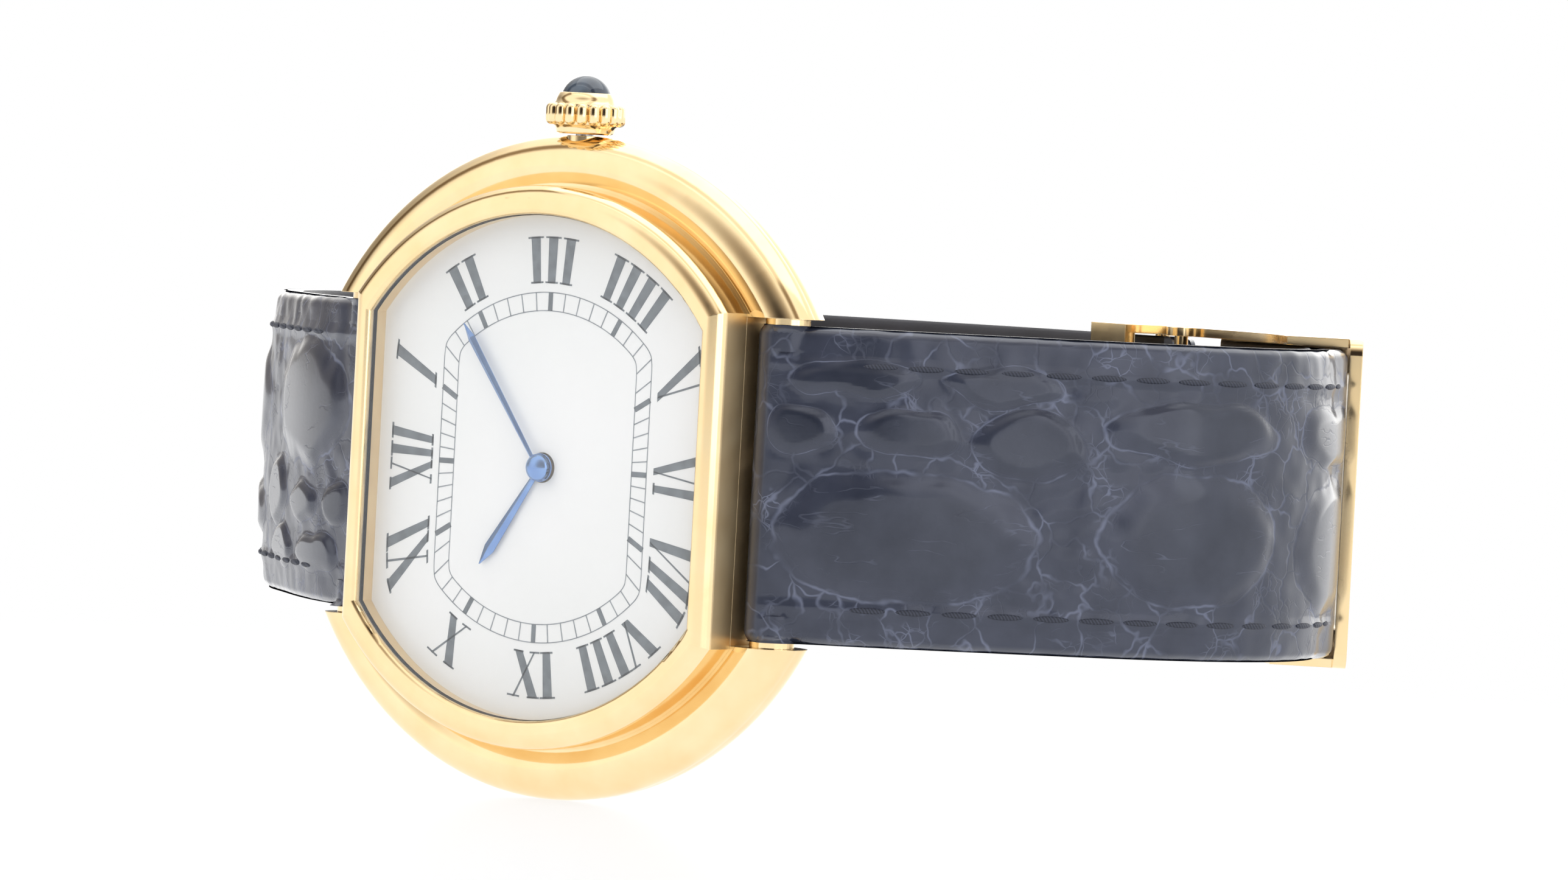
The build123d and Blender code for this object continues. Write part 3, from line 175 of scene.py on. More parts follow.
def brushed_metal(name, dark, light, roughness):
    """A plated, gilt or hardened movement part, grained one way, so its shine is drawn out in lines."""
    material, tree, place = new_material(name)
    drawn_out = (brush_grain, brush_grain, brush_grain / brush_stretch)
    stretch = add(tree, "Mapping", {"Vector": place, "Scale": drawn_out})
    lines = add(tree, "TexNoise", {"Vector": stretch, "Scale": 1.0, "Detail": 2.0})
    tint = add(tree, "ValToRGB", {"Fac": lines}, [(0.35, dark), (0.65, light)])
    gloss = add(tree, "MapRange", {"Value": lines, "To Min": roughness, "To Max": roughness + brush_spread})
    bump = add(tree, "Bump", {"Height": lines, "Strength": 0.08, "Distance": 0.00001})
    shader = add(tree, "BsdfPrincipled", {"Base Color": tint, "Metallic": 1.0, "Roughness": gloss,
                                          "Normal": bump})
    add(tree, "OutputMaterial", {"Surface": shader})
    return material


def dial_lacquer():
    """Off-white opaline lacquer: even, very slightly grained, with a thin clear coat."""
    material, tree, place = new_material("opaline_dial_lacquer")
    # Real opaline grain is about 0.02 mm; it is drawn at 0.08 mm so that it shows
    grain = add(tree, "TexNoise", {"Vector": place, "Scale": 12000.0, "Detail": 2.0})
    cloud = add(tree, "TexNoise", {"Vector": place, "Scale": 90.0, "Detail": 2.0})
    tint = add(tree, "ValToRGB", {"Fac": cloud}, [(0.3, "ecedea"), (0.7, "f2f2f0")])
    bump = add(tree, "Bump", {"Height": grain, "Strength": 0.05, "Distance": 0.00001})
    shader = add(tree, "BsdfPrincipled", {"Base Color": tint, "Roughness": 0.42, "Coat Weight": 0.25,
                                          "Coat Roughness": 0.12, "Normal": bump})
    add(tree, "OutputMaterial", {"Surface": shader})
    return material


def glazed_leather():
    """Glazed reptile leather, dyed navy black: smooth dark scales, paler folds and fine worn creases; the
    scales' darker middles are partly painted shade.
    """
    material, tree, _ = new_material("glazed_navy_reptile_leather")
    # The UV map is in millimetres, along the strap and across it
    flat = add(tree, "UVMap", uv_map="UVMap").outputs["UV"]
    # Made with the mesh: 1 at the rim of a scale, less on the scale and more in the folds
    near = add(tree, "Attribute", attribute_name="near").outputs["Fac"]
    sway = add(tree, "TexNoise", {"Vector": flat, "Scale": 0.6, "Detail": 2.0, "Roughness": 0.5})
    pushed = add(tree, "VectorMath", {0: sway.outputs["Color"], "Scale": 2.0}, operation="SCALE")
    bent = add(tree, "VectorMath", {0: flat, 1: pushed}, operation="ADD")
    loose = add(tree, "MapRange", {"Value": near, "From Min": 0.93, "From Max": 1.1}, **smooth)
    # Folds between the scales are cells about 2.5 mm wide, with finer ones about 0.8 mm wide here and there
    folds = add(tree, "TexVoronoi", {"Vector": bent, "Scale": 0.42}, feature="DISTANCE_TO_EDGE")
    fine = add(tree, "TexVoronoi", {"Vector": bent, "Scale": 1.25}, feature="DISTANCE_TO_EDGE")
    patch = add(tree, "TexNoise", {"Vector": flat, "Scale": 0.33, "Detail": 2.0})
    some = add(tree, "MapRange", {"Value": patch, "From Min": 0.5, "From Max": 0.62}, **smooth)
    loose_in_places = add(tree, "Math", {0: loose, 1: some}, operation="MULTIPLY")
    # The rim of each scale, and a few wrinkles on the scales themselves
    wobble = add(tree, "Math", {0: sway, 1: 0.22, 2: 0.93}, operation="MULTIPLY_ADD")
    rim = add(tree, "Math", {0: near, 1: wobble}, operation="SUBTRACT")
    drawn = add(tree, "Mapping", {"Vector": flat, "Scale": (0.16, 0.62, 1.0)})
    wrinkle = add(tree, "TexNoise", {"Vector": drawn, "Scale": 1.0, "Detail": 3.0})
    crossing = add(tree, "Math", {0: wrinkle, 1: 0.5}, operation="SUBTRACT")
    faint_in_places = add(tree, "Math", {0: some, 1: 0.5}, operation="MULTIPLY")
    # Each crease runs where its value is nought, and is gone at a width from there
    crease = 0.0
    for value, width, strength in ((folds, 0.045, loose), (fine, 0.06, loose_in_places), (rim, 0.035, 1.0),
                                   (crossing, 0.012, faint_in_places)):
        size = add(tree, "Math", {0: value}, operation="ABSOLUTE")
        line = add(tree, "MapRange", {"Value": size, "From Min": 0.0, "From Max": width, "To Min": 1.0,
                                      "To Max": 0.0}, **smooth)
        line = add(tree, "Math", {0: line, 1: strength}, operation="MULTIPLY")
        crease = add(tree, "Math", {0: crease, 1: line}, operation="MAXIMUM")
    # Worn unevenly, so the creases come and go
    wear = add(tree, "TexNoise", {"Vector": flat, "Scale": 0.5, "Detail": 2.0})
    worn = add(tree, "MapRange", {"Value": wear, "From Min": 0.4, "From Max": 0.66, "To Min": 0.08,
                                  "To Max": 0.75}, **smooth)
    shown = add(tree, "Math", {0: crease, 1: worn}, operation="MULTIPLY")
    cloud = add(tree, "TexNoise", {"Vector": flat, "Scale": 0.5, "Detail": 3.0})
    # The scales' darker middles against their paler rims and folds are partly the dye and partly painted
    # shade of the domed scales
    scale_dye_with_painted_shade = add(tree, "ValToRGB", {"Fac": cloud}, [(0.3, "262a36"), (0.7, "333743")])
    fold_dye_with_painted_light = add(tree, "ValToRGB", {"Fac": cloud}, [(0.3, "2d313e"), (0.7, "3a3e4c")])
    folded = add(tree, "MapRange", {"Value": near, "From Min": 0.55, "From Max": 1.05}, **smooth)
    dye = add(tree, "Mix", {"Factor": folded, "A": scale_dye_with_painted_shade, "B": fold_dye_with_painted_light},
              data_type="RGBA").outputs["Result"]
    creased = add(tree, "Mix", {"Factor": shown, "A": dye, "B": colour("70768a")}, data_type="RGBA")
    pores = add(tree, "TexNoise", {"Vector": flat, "Scale": 5.0, "Detail": 3.0})
    small = add(tree, "Bump", {"Height": pores, "Strength": 0.10, "Distance": 0.00004})
    sunk = add(tree, "Bump", {"Height": crease, "Strength": 0.28, "Distance": 0.00006, "Normal": small},
               invert=True)
    softer = add(tree, "Math", {0: loose, 1: 0.35}, operation="MULTIPLY")
    softer = add(tree, "Math", {0: crease, 1: softer}, operation="MAXIMUM")
    gloss = add(tree, "MapRange", {"Value": softer, "To Min": 0.26, "To Max": 0.55})
    # The cut edges are painted and shine more than the face. They lie 7.28 to 7.48 mm off the middle
    # line, which is squared here
    across = add(tree, "SeparateXYZ", {0: flat}).outputs["Y"]
    squared = add(tree, "Math", {0: across, 1: across}, operation="MULTIPLY")
    coat = add(tree, "MapRange", {"Value": squared, "From Min": 53.0, "From Max": 56.0, "To Min": 0.38,
                                  "To Max": 1.0}, **smooth)
    shader = add(tree, "BsdfPrincipled", {"Base Color": creased.outputs["Result"], "Roughness": gloss,
                                          "Specular IOR Level": 0.5, "Specular Tint": colour("dfe5f5"),
                                          "Coat Weight": coat, "Coat Roughness": 0.12, "Normal": sunk})
    add(tree, "OutputMaterial", {"Surface": shader})
    return material


def lining_leather():
    """Smooth calf lining, matt and nearly black, with fine pores."""
    material, tree, place = new_material("smooth_calf_lining")
    pores = add(tree, "TexVoronoi", {"Vector": place, "Scale": 4200.0})
    shade = add(tree, "TexNoise", {"Vector": place, "Scale": 220.0, "Detail": 3.0})
    dye = add(tree, "ValToRGB", {"Fac": shade}, [(0.3, "26262b"), (0.7, "34343b")])
    bump = add(tree, "Bump", {"Height": pores, "Strength": 0.3, "Distance": 0.00003})
    shader = add(tree, "BsdfPrincipled", {"Base Color": dye, "Roughness": 0.55, "Normal": bump})
    add(tree, "OutputMaterial", {"Surface": shader})
    return material


def waxed_thread():
    """Waxed linen thread, dyed to match the leather, with its twist as fine slanting ribs."""
    material, tree, place = new_material("waxed_linen_thread")
    twist = add(tree, "TexWave", {"Vector": place, "Scale": 2600.0, "Distortion": 1.5},
                bands_direction="DIAGONAL").outputs["Fac"]
    dye = add(tree, "ValToRGB", {"Fac": twist}, [(0.2, "232733"), (0.8, "3a3e4c")])
    bump = add(tree, "Bump", {"Height": twist, "Strength": 0.4, "Distance": 0.00003})
    shader = add(tree, "BsdfPrincipled", {"Base Color": dye, "Roughness": 0.6, "Normal": bump})
    add(tree, "OutputMaterial", {"Surface": shader})
    return material


gold = polished_gold()
# Steel tempered to a clear cornflower blue and left polished
blued = clouded("heat_blued_steel", 700.0, 3.0, [(0.3, "5b83c2"), (0.7, "83a8dc")], {"Metallic": 0.85},
                (0.14, 0.24))
leather = glazed_leather()
lining = lining_leather()
thread = waxed_thread()
# Pad-printed black ink, a little thin in places, and thinner still in the fine lines, so those look grey
ink = clouded("printed_black_ink", 2500.0, 2.0, [(0.35, "4c5459"), (0.7, "666e73")], {"Roughness": 0.55})
fine_ink = clouded("printed_fine_ink", 2500.0, 2.0, [(0.35, "7a8085"), (0.7, "969b9f")], {"Roughness": 0.55})
finish_of_slot = {
    "gold": gold,
    # Moulded black gasket rubber: matt and nearly black
    "seal": clouded("moulded_gasket_rubber", 6000.0, 2.0, [(0.3, "15151a"), (0.7, "24242a")],
                    {"Roughness": 0.7}),
    # Polished mineral crystal, coated against reflections, so it hardly shows over the dial
    "crystal": clouded("coated_mineral_crystal", 60.0, 2.0, [(0.3, "f4f8fb"), (0.7, "f4f8fb")],
                       {"Alpha": 0.08}, (0.02, 0.05)),
    "dial": dial_lacquer(),
    "brass": brushed_metal("gilt_brass", "c9a55c", "e0c07a", 0.25),
    "nickel": brushed_metal("nickel_plate", "aeb0b2", "cfd1d2", 0.22),
    "blued_steel": blued,
    # Polished synthetic ruby: clear red with a sharp shine
    "ruby": clouded("polished_ruby", 1500.0, 2.0, [(0.3, "9c1436"), (0.7, "c92a50")],
                    {"Roughness": 0.05, "IOR": 1.76}),
    "steel": brushed_metal("hardened_steel", "8f9196", "b4b6ba", 0.2),
    # Polished blue synthetic spinel, dark from most sides, with a soft cloud inside
    "cabochon": clouded("polished_blue_spinel", 900.0, 3.0, [(0.3, "1d2a3a"), (0.7, "3a4b5c")],
                        {"Roughness": 0.06, "IOR": 1.72, "Coat Weight": 0.2, "Coat Roughness": 0.05}),
    "strap_leather": leather,
    "lining_leather": lining,
}
for part in frame["record"]["subparts"]:
    node = nodes[part["node"]]
    node.data.materials.clear()
    node.data.materials.append(finish_of_slot[part["material_slot"]])


# Modelling helpers

def only(*pieces):
    """Makes these the only selected pieces, and the first of them active."""
    bpy.ops.object.select_all(action="DESELECT")
    for piece in pieces:
        piece.select_set(True)
    bpy.context.view_layer.objects.active = pieces[0]


def new_piece(name, points, edges, faces):
    """A piece made from points, and made the active one."""
    mesh = bpy.data.meshes.new(name)
    mesh.from_pydata(points, edges, faces)
    piece = bpy.data.objects.new(name, mesh)
    bpy.context.scene.collection.objects.link(piece)
    only(piece)
    return piece


def face_outward(merge_distance=None):
    """Turns the active piece's faces outward, after merging its doubled points where a distance is given."""
    bpy.ops.object.mode_set(mode="EDIT")
    bpy.ops.mesh.select_all(action="SELECT")
    if merge_distance:
        bpy.ops.mesh.remove_doubles(threshold=merge_distance)
    bpy.ops.mesh.normals_make_consistent(inside=False)
    bpy.ops.object.mode_set(mode="OBJECT")


def settle(piece, name, material, body):
    """Gives a new piece its name, finish and body, with its place in its mesh."""
    only(piece)
    bpy.ops.object.transform_apply(location=True, rotation=True, scale=True)
    piece.name = name
    piece.data.name = name
    piece.data.materials.clear()
    piece.data.materials.append(material)
    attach(piece, body)


def joined(pieces):
    """Joins several pieces into the first."""
    only(*pieces)
    bpy.ops.object.join()
    return bpy.context.view_layer.objects.active


def flat_print(outlines, name, material):
    """Thin printed shapes on the dial, each given as an outline of dial points."""
    verts = []
    faces = []
    for outline in outlines:
        start = len(verts)
        count = len(outline)
        for height in (print_rise, print_rise + print_thickness):
            verts += [on_dial(x, y, height) for x, y in outline]
        faces.append([start + count + i for i in range(count)])
        faces.append([start + i for i in reversed(range(count))])
        for i in range(count):
            j = (i + 1) % count
            faces.append([start + i, start + j, start + count + j, start + count + i])
    piece = new_piece(name, verts, [], faces)
    face_outward()
    settle(piece, name, material, "case")


# Dial printing: a track of minutes and the hours in Roman figures, on a circle cut by two flats
track_radius = 8.15
track_flat = 5.88
track_half_band = 0.45
track_line = 0.05
track_corner = 0.55
minute_tick = 0.06
hour_tick = 0.26
figure_inner_radius = 9.05
figure_inner_flat = 6.75
figure_outer_radius = 11.35
figure_outer_flat = 9.35
bar_width = 0.5
bar_pitch = 0.98
hairline = 0.1
serif_half = 0.42
serif_height = 0.09
letter_v_width = 1.55
letter_x_width = 1.6
letter_gap = 0.3
print_thickness = 0.012
print_rise = 0.002
figure_height = 2.3
figure_corner = 1.2
thin_serif_share = 0.7
x_serif_share = 0.8
run_overlap = 0.02


def reach_at(clock, radius, flat, corner=track_corner):
    """Distance from the centre to a flat-cut circle, at an angle from 12 towards 3, with eased corners."""
    level = flat / max(abs(math.cos(math.radians(clock))), 1e-6)
    low, high = sorted((radius, level))
    ease = max(0.0, corner - (high - low)) / corner
    return low - ease * ease * corner / 6


def dial_point(clock, distance):
    """A dial point at an angle from 12 towards 3."""
    turn = math.radians(clock)
    return (distance * math.sin(turn), distance * math.cos(turn))


def track_line_shapes(offset):
    """One line of the track, as short four-sided runs all the way round."""
    runs = []
    steps = 360
    for step in range(steps):
        ends = []
        for clock in (step * 360 / steps, (step + 1) * 360 / steps + run_overlap):
            middle = reach_at(clock, track_radius + offset, track_flat + offset)
            ends.append((clock, middle))
        (a, ra), (b, rb) = ends
        runs.append([dial_point(a, ra - track_line / 2), dial_point(a, ra + track_line / 2),
                     dial_point(b, rb + track_line / 2), dial_point(b, rb - track_line / 2)])
    return runs


def tick_shape(clock, width):
    """A tick across the track."""
    inner = reach_at(clock, track_radius - track_half_band, track_flat - track_half_band)
    outer = reach_at(clock, track_radius + track_half_band, track_flat + track_half_band)
    x, y = dial_point(clock, 1.0)
    side = (y * width / 2, -x * width / 2)
    points = []
    for distance, sign in ((inner, -1), (inner, 1), (outer, 1), (outer, -1)):
        points.append((x * distance + sign * side[0], y * distance + sign * side[1]))
    return points


def figure_point(clock, across, height):
    """A point of a figure: across it along the track, and from 0 at its foot to 1 at its head."""
    middle = (figure_inner_radius + figure_outer_radius) / 2
    turn = clock + math.degrees(across / middle)
    foot = reach_at(turn, figure_inner_radius, figure_inner_flat, figure_corner)
    head = reach_at(turn, figure_outer_radius, figure_outer_flat, figure_corner)
    return dial_point(turn, foot + (head - foot) * height)


def stroke(clock, foot_across, head_across, width, low=0.0, high=1.0):
    """A straight stroke of a figure between its foot and its head."""
    foot = foot_across + (head_across - foot_across) * low
    head = foot_across + (head_across - foot_across) * high
    return [figure_point(clock, foot - width / 2, low), figure_point(clock, foot + width / 2, low),
            figure_point(clock, head + width / 2, high), figure_point(clock, head - width / 2, high)]


def serif(clock, across, height, half):
    """A thin foot or head line on a stroke."""
    thin = serif_height / figure_height
    low = 0.0 if height == 0 else 1.0 - thin
    return [figure_point(clock, across - half, low), figure_point(clock, across + half, low),
            figure_point(clock, across + half, low + thin), figure_point(clock, across - half, low + thin)]


def roman_figure(clock, letters):
    """The strokes of one hour, its foot towards the centre."""
    widths = {"I": bar_width, "V": letter_v_width, "X": letter_x_width}
    gaps = [bar_pitch - bar_width if a == b == "I" else letter_gap for a, b in zip(letters, letters[1:])]
    total = sum(widths[letter] for letter in letters) + sum(gaps)
    left = -total / 2
    shapes = []
    for number, letter in enumerate(letters):
        width = widths[letter]
        middle = left + width / 2
        if letter == "I":
            shapes.append(stroke(clock, middle, middle, bar_width))
            shapes += [serif(clock, middle, 0, serif_half), serif(clock, middle, 1, serif_half)]
        if letter == "V":
            lead = middle - width / 2 + bar_width / 2
            trail = middle + width / 2 - hairline
            shapes.append(stroke(clock, middle + hairline, lead, bar_width))
            shapes.append(stroke(clock, middle + hairline, trail, hairline))
            shapes.append(serif(clock, lead, 1, serif_half))
            shapes.append(serif(clock, trail, 1, serif_half * thin_serif_share))
        if letter == "X":
            low = middle - width / 2 + bar_width / 2
            high = middle + width / 2 - bar_width / 2
            shapes.append(stroke(clock, high, low, bar_width))
            shapes.append(stroke(clock, low, high, hairline))
            for height in (0, 1):
                shapes += [serif(clock, across, height, serif_half * x_serif_share) for across in (low, high)]
        left += width + (gaps[number] if number < len(gaps) else 0)
    return shapes


def dial_printing():
    """All the printing on the dial."""
    fine = track_line_shapes(-track_half_band) + track_line_shapes(track_half_band)
    for minute in range(60):
        if minute % 5:
            fine.append(tick_shape(minute * 6, minute_tick))
    flat_print(fine, "minute_track", fine_ink)
    bold = [tick_shape(hour * 30, hour_tick) for hour in range(12)]
    hours = ["XII", "I", "II", "III", "IIII", "V", "VI", "VII", "VIII", "IX", "X", "XI"]
    for hour, letters in enumerate(hours):
        bold += roman_figure(hour * 30, letters)
    flat_print(bold, "hour_figures", ink)


# Hands: blued blades with a raised middle line, and a domed boss over the hub
hand_thickness = 0.1
hand_ridge = 0.07
hand_point_width = 0.02
minute_clock = 54.2
hour_clock = 304.5
hour_hub_radius = 0.7
boss_radius = 0.68
boss_flatness = 0.52


def hand_blade(name, length, tail, neck, widest, widest_share, rise, clock):
    """A blade with a ridge, from a tail behind the centre to a point."""
    stations = [(-tail, neck), (0.0, neck), (length * widest_share, widest), (length, hand_point_width)]
    low = hand_thickness / 2
    ring = 5
    verts = []
    for along, width in stations:
        ridge = hand_thickness + hand_ridge * width / widest
        x, y = dial_point(clock, along)
        for share, height in ((-0.5, 0.0), (0.5, 0.0), (0.5, low), (0.0, ridge), (-0.5, low)):
            side_x, side_y = dial_point(clock + 90, share * width)
            verts.append(on_dial(x + side_x, y + side_y, rise + height))
    last = (len(stations) - 1) * ring
    faces = []
    for start in range(0, last, ring):
        for i in range(ring):
            j = (i + 1) % ring
            faces.append([start + i, start + j, start + ring + j, start + ring + i])
    faces.append(list(reversed(range(ring))))
    faces.append([last + i for i in range(ring)])
    blade = new_piece(name, verts, [], faces)
    face_outward()
    return blade


def hands():
    """Both hands, each with its hub, in place of the plain ones."""
    rise = -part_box("hour_hand")[1].y / MM - back_depth
    blade = hand_blade("hour_blade", length=6.0, tail=0.7, neck=0.24, widest=0.62, widest_share=0.84,
                       rise=rise, clock=hour_clock)
    bpy.ops.mesh.primitive_cylinder_add(vertices=64, radius=hour_hub_radius * MM, depth=hand_thickness * MM,
                                        location=on_dial(0, 0, rise + hand_thickness / 2),
                                        rotation=(math.pi / 2, 0, 0))
    hour = joined([blade, bpy.context.object])
    settle(hour, "hour_hand_blued", blued, "hour_motion")
    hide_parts("hour_hand")
    rise = -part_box("minute_hand")[1].y / MM - back_depth
    blade = hand_blade("minute_blade", length=8.42, tail=0.75, neck=0.18, widest=0.4, widest_share=0.9,
                       rise=rise, clock=minute_clock)
    # The boss is the upper half of a flattened ball
    foot = on_dial(0, 0, rise)
    bpy.ops.mesh.primitive_uv_sphere_add(segments=48, ring_count=24, radius=boss_radius * MM, location=foot)
    boss = bpy.context.object
    boss.scale = (1.0, boss_flatness, 1.0)
    bpy.ops.object.transform_apply(location=True, rotation=True, scale=True)
    bpy.ops.object.mode_set(mode="EDIT")
    bpy.ops.mesh.select_all(action="SELECT")
    bpy.ops.mesh.bisect(plane_co=foot, plane_no=(0, 1, 0), clear_outer=True, use_fill=True)
    bpy.ops.object.mode_set(mode="OBJECT")
    bpy.ops.object.shade_smooth_by_angle(angle=math.radians(40))
    minute = joined([blade, boss])
    settle(minute, "minute_hand_blued", blued, "minute_motion")
    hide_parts("minute_hand")


# Strap: each half is drawn in the plane of the loop, as (away from the case, height over the dial)

def loop_point(angle, inset, half_length):
    """A point on the loop, a distance inside its outer face."""
    turn = math.radians(angle)
    outward = (half_length - inset) * math.cos(turn)
    return Vector((outward, -loop_depth - (loop_half_height - inset) * math.sin(turn)))


def strap_line(tip_angle, inset, half_length):
    """Points along one face of a strap half, from over the spring bar to the tip."""
    share = inset / strap_thickness
    start = Vector((bar_offset, -bar_depth + strap_end_radius * (1 - 2 * share)))
    join = loop_point(loop_join_angle, inset, half_length)
    turn = math.radians(loop_join_angle)
    out = Vector((-(half_length - inset) * math.sin(turn), -(loop_half_height - inset) * math.cos(turn)))
    span = (join - start).length
    first = Vector((1.0, -strap_end_slope)).normalized() * span
    last = out.normalized() * span
    points = []
    steps = 24
    for step in range(steps):
        t = step / steps
        points.append(start * (2 * t ** 3 - 3 * t ** 2 + 1) + first * (t ** 3 - 2 * t ** 2 + t)
                      + join * (3 * t ** 2 - 2 * t ** 3) + last * (t ** 3 - t ** 2))
    turns = 120
    for step in range(turns + 1):
        angle = loop_join_angle + (tip_angle - loop_join_angle) * step / turns
        points.append(loop_point(angle, inset, half_length))
    return points


def half_turn(radius):
    """The half turn round the spring bar at a radius, from below it to above it."""
    turns = [math.pi * step / nose_steps for step in range(nose_steps)]
    return [bar_centre + Vector((-math.sin(turn), -math.cos(turn))) * radius for turn in turns]


def sleeve_line(inner, rows):
    """The inner face of the fold round a lug: a turn round the bar that runs into the plain face."""
    line = half_turn(sleeve_radius)
    for row, point in enumerate(inner):
        turn = math.radians(sleeve_start_angle - sleeve_sweep * min(1.0, row / rows))
        round_bar = bar_centre + Vector((math.cos(turn), math.sin(turn))) * sleeve_radius
        line.append(round_bar.lerp(point, smooth_share(row, rows, sleeve_fade * rows)))
    return line


def evenly(points, count):
    """A number of points spread evenly along the same line."""
    lengths = [0.0]
    for a, b in zip(points, points[1:]):
        lengths.append(lengths[-1] + (b - a).length)
    spaced = []
    at = 0
    for number in range(count):
        goal = lengths[-1] * number / (count - 1)
        while at < len(points) - 2 and lengths[at + 1] < goal:
            at += 1
        part = (goal - lengths[at]) / max(lengths[at + 1] - lengths[at], 1e-9)
        spaced.append(points[at].lerp(points[at + 1], min(1.0, part)))
    return spaced


def line_length(points):
    """The length of a line of points."""
    return sum((b - a).length for a, b in zip(points, points[1:]))


# Scales of the leather, as (distance from the case end, place across, half length, half width)
scale_places = [
    (7.0, -2.3, 6.2, 3.1), (1.6, 2.8, 1.5, 1.1), (6.8, 2.7, 2.7, 1.1), (12.9, 2.4, 2.6, 1.7),
    (21.9, -1.9, 5.0, 3.2), (21.8, 3.5, 4.8, 1.5), (4.4, 5.3, 3.2, 1.0), (11.6, 5.2, 2.8, 0.9),
    (34.0, -2.1, 5.0, 3.2), (33.6, 3.4, 4.6, 1.6), (45.4, -2.0, 4.8, 3.1), (45.0, 3.4, 4.3, 1.6),
    (56.6, -2.1, 4.6, 3.1), (56.2, 3.4, 4.2, 1.6), (67.4, -1.8, 4.3, 3.2), (67.0, 3.4, 4.0, 1.5),
]
far_from_scale = 3.0
wander = 0.5
wander_scale = 0.45
seed_shift = Vector((13.7, 5.1, 2.3))
scale_dome = 0.22
# From the scale's side of the rim to the fold's, and where the face begins over the bar
rim_slope = (0.72, 1.08)
top_begins = (-1.2, 2.0)
tip_fade = 1.0
lump_height = 0.06
lump_scale = 0.9
lump_layer = 4.0
camber_drop = 0.32
edge_round = 0.55
# How far the rounding of an edge reaches into the upper and into the lining
upper_round_share = 0.75
lining_round_share = 0.4
face_step = 0.24
across_steps = 96
notch_gap = 0.01
same_point = 0.000001
# The fold, and the sleeve in it round each lug
bar_centre = Vector((bar_offset, -bar_depth))
nose_steps = 24
sleeve_radius = 1.13
sleeve_outside = sleeve_radius + 0.03
sleeve_length = 2.4
sleeve_start_angle = 90
sleeve_sweep = 120
sleeve_fade = 1.4
# Stitches
stitch_inset = 1.8
stitch_groove = 0.1
stitch_groove_half = 0.36
stitch_length = 1.75
stitch_pitch = 2.25
stitch_radius = 0.15
stitch_start = 4.5
stitch_sink = 0.04
# The clasp's plate, and the leather pressed under it
clasp_start_angle = 25.0
clasp_plate_gap = 0.2
clasp_clearance = 0.04
pad_start = line_length(strap_line(clasp_start_angle, 0, loop_half_length))
press_begins = (pad_start - 3.5, pad_start - 0.3)
pressed_share = 0.85


def nearest_scale(along, across, flip):
    """How far a place is from the middle of its scale, where 1 is the scale's rim."""
    where = Vector((along * wander_scale, across * wander_scale, 0.0)) + seed_shift * (1 + flip)
    along += wander * noise.noise(where)
    across += wander * noise.noise(where + seed_shift)
    near = far_from_scale
    for s, z, a, b in scale_places:
        if abs(along - s) < far_from_scale * a:
            near = min(near, math.hypot((along - s) / a, (across * (-1 if flip else 1) - z) / b))
    return near


def smooth_share(value, low, high):
    """0 below one value and 1 above another, smooth between."""
    share = max(0.0, min(1.0, (value - low) / (high - low)))
    return share * share * (3 - 2 * share)


def face_inset(along, across, near, flip, total):
    """How far the glazed face lies inside the smooth loop at a place on it."""
    on_top = smooth_share(along, *top_begins)
    fade = on_top * smooth_share(total - along, 0.0, tip_fade)
    groove = max(0.0, 1 - abs(abs(across) - (strap_half_width - stitch_inset)) / stitch_groove_half)
    lump = noise.noise(Vector((along * lump_scale, across * lump_scale, lump_layer + flip)))
    between_scales = smooth_share(near, *rim_slope)
    sunk = scale_dome * between_scales * (1 - groove) + lump_height * (0.5 - lump) * between_scales
    drop = camber_drop * abs(across / strap_half_width) ** 3 * on_top + fade * (sunk + stitch_groove * groove)
    # Under the clasp's plate the leather is pressed level, close to the gold
    pressed = 0.0 if flip else smooth_share(along, *press_begins)
    return drop * (1 - pressed_share * pressed) - (clasp_plate_gap - clasp_clearance) * pressed


def column_places():
    """Places across the strap, with a pair close together at each side of the fold's notches."""
    edge = strap_half_width - fold_notch_width
    pitch = 2 * strap_half_width / across_steps
    places = []
    for step in range(across_steps + 1):
        z = -strap_half_width + pitch * step
        if 0 <= edge - abs(z) < pitch:
            z = math.copysign(edge - notch_gap, z)
        elif 0 < abs(z) - edge < pitch:
            z = math.copysign(edge + notch_gap, z)
        places.append(z)
    return [-strap_half_width] + places + [strap_half_width]


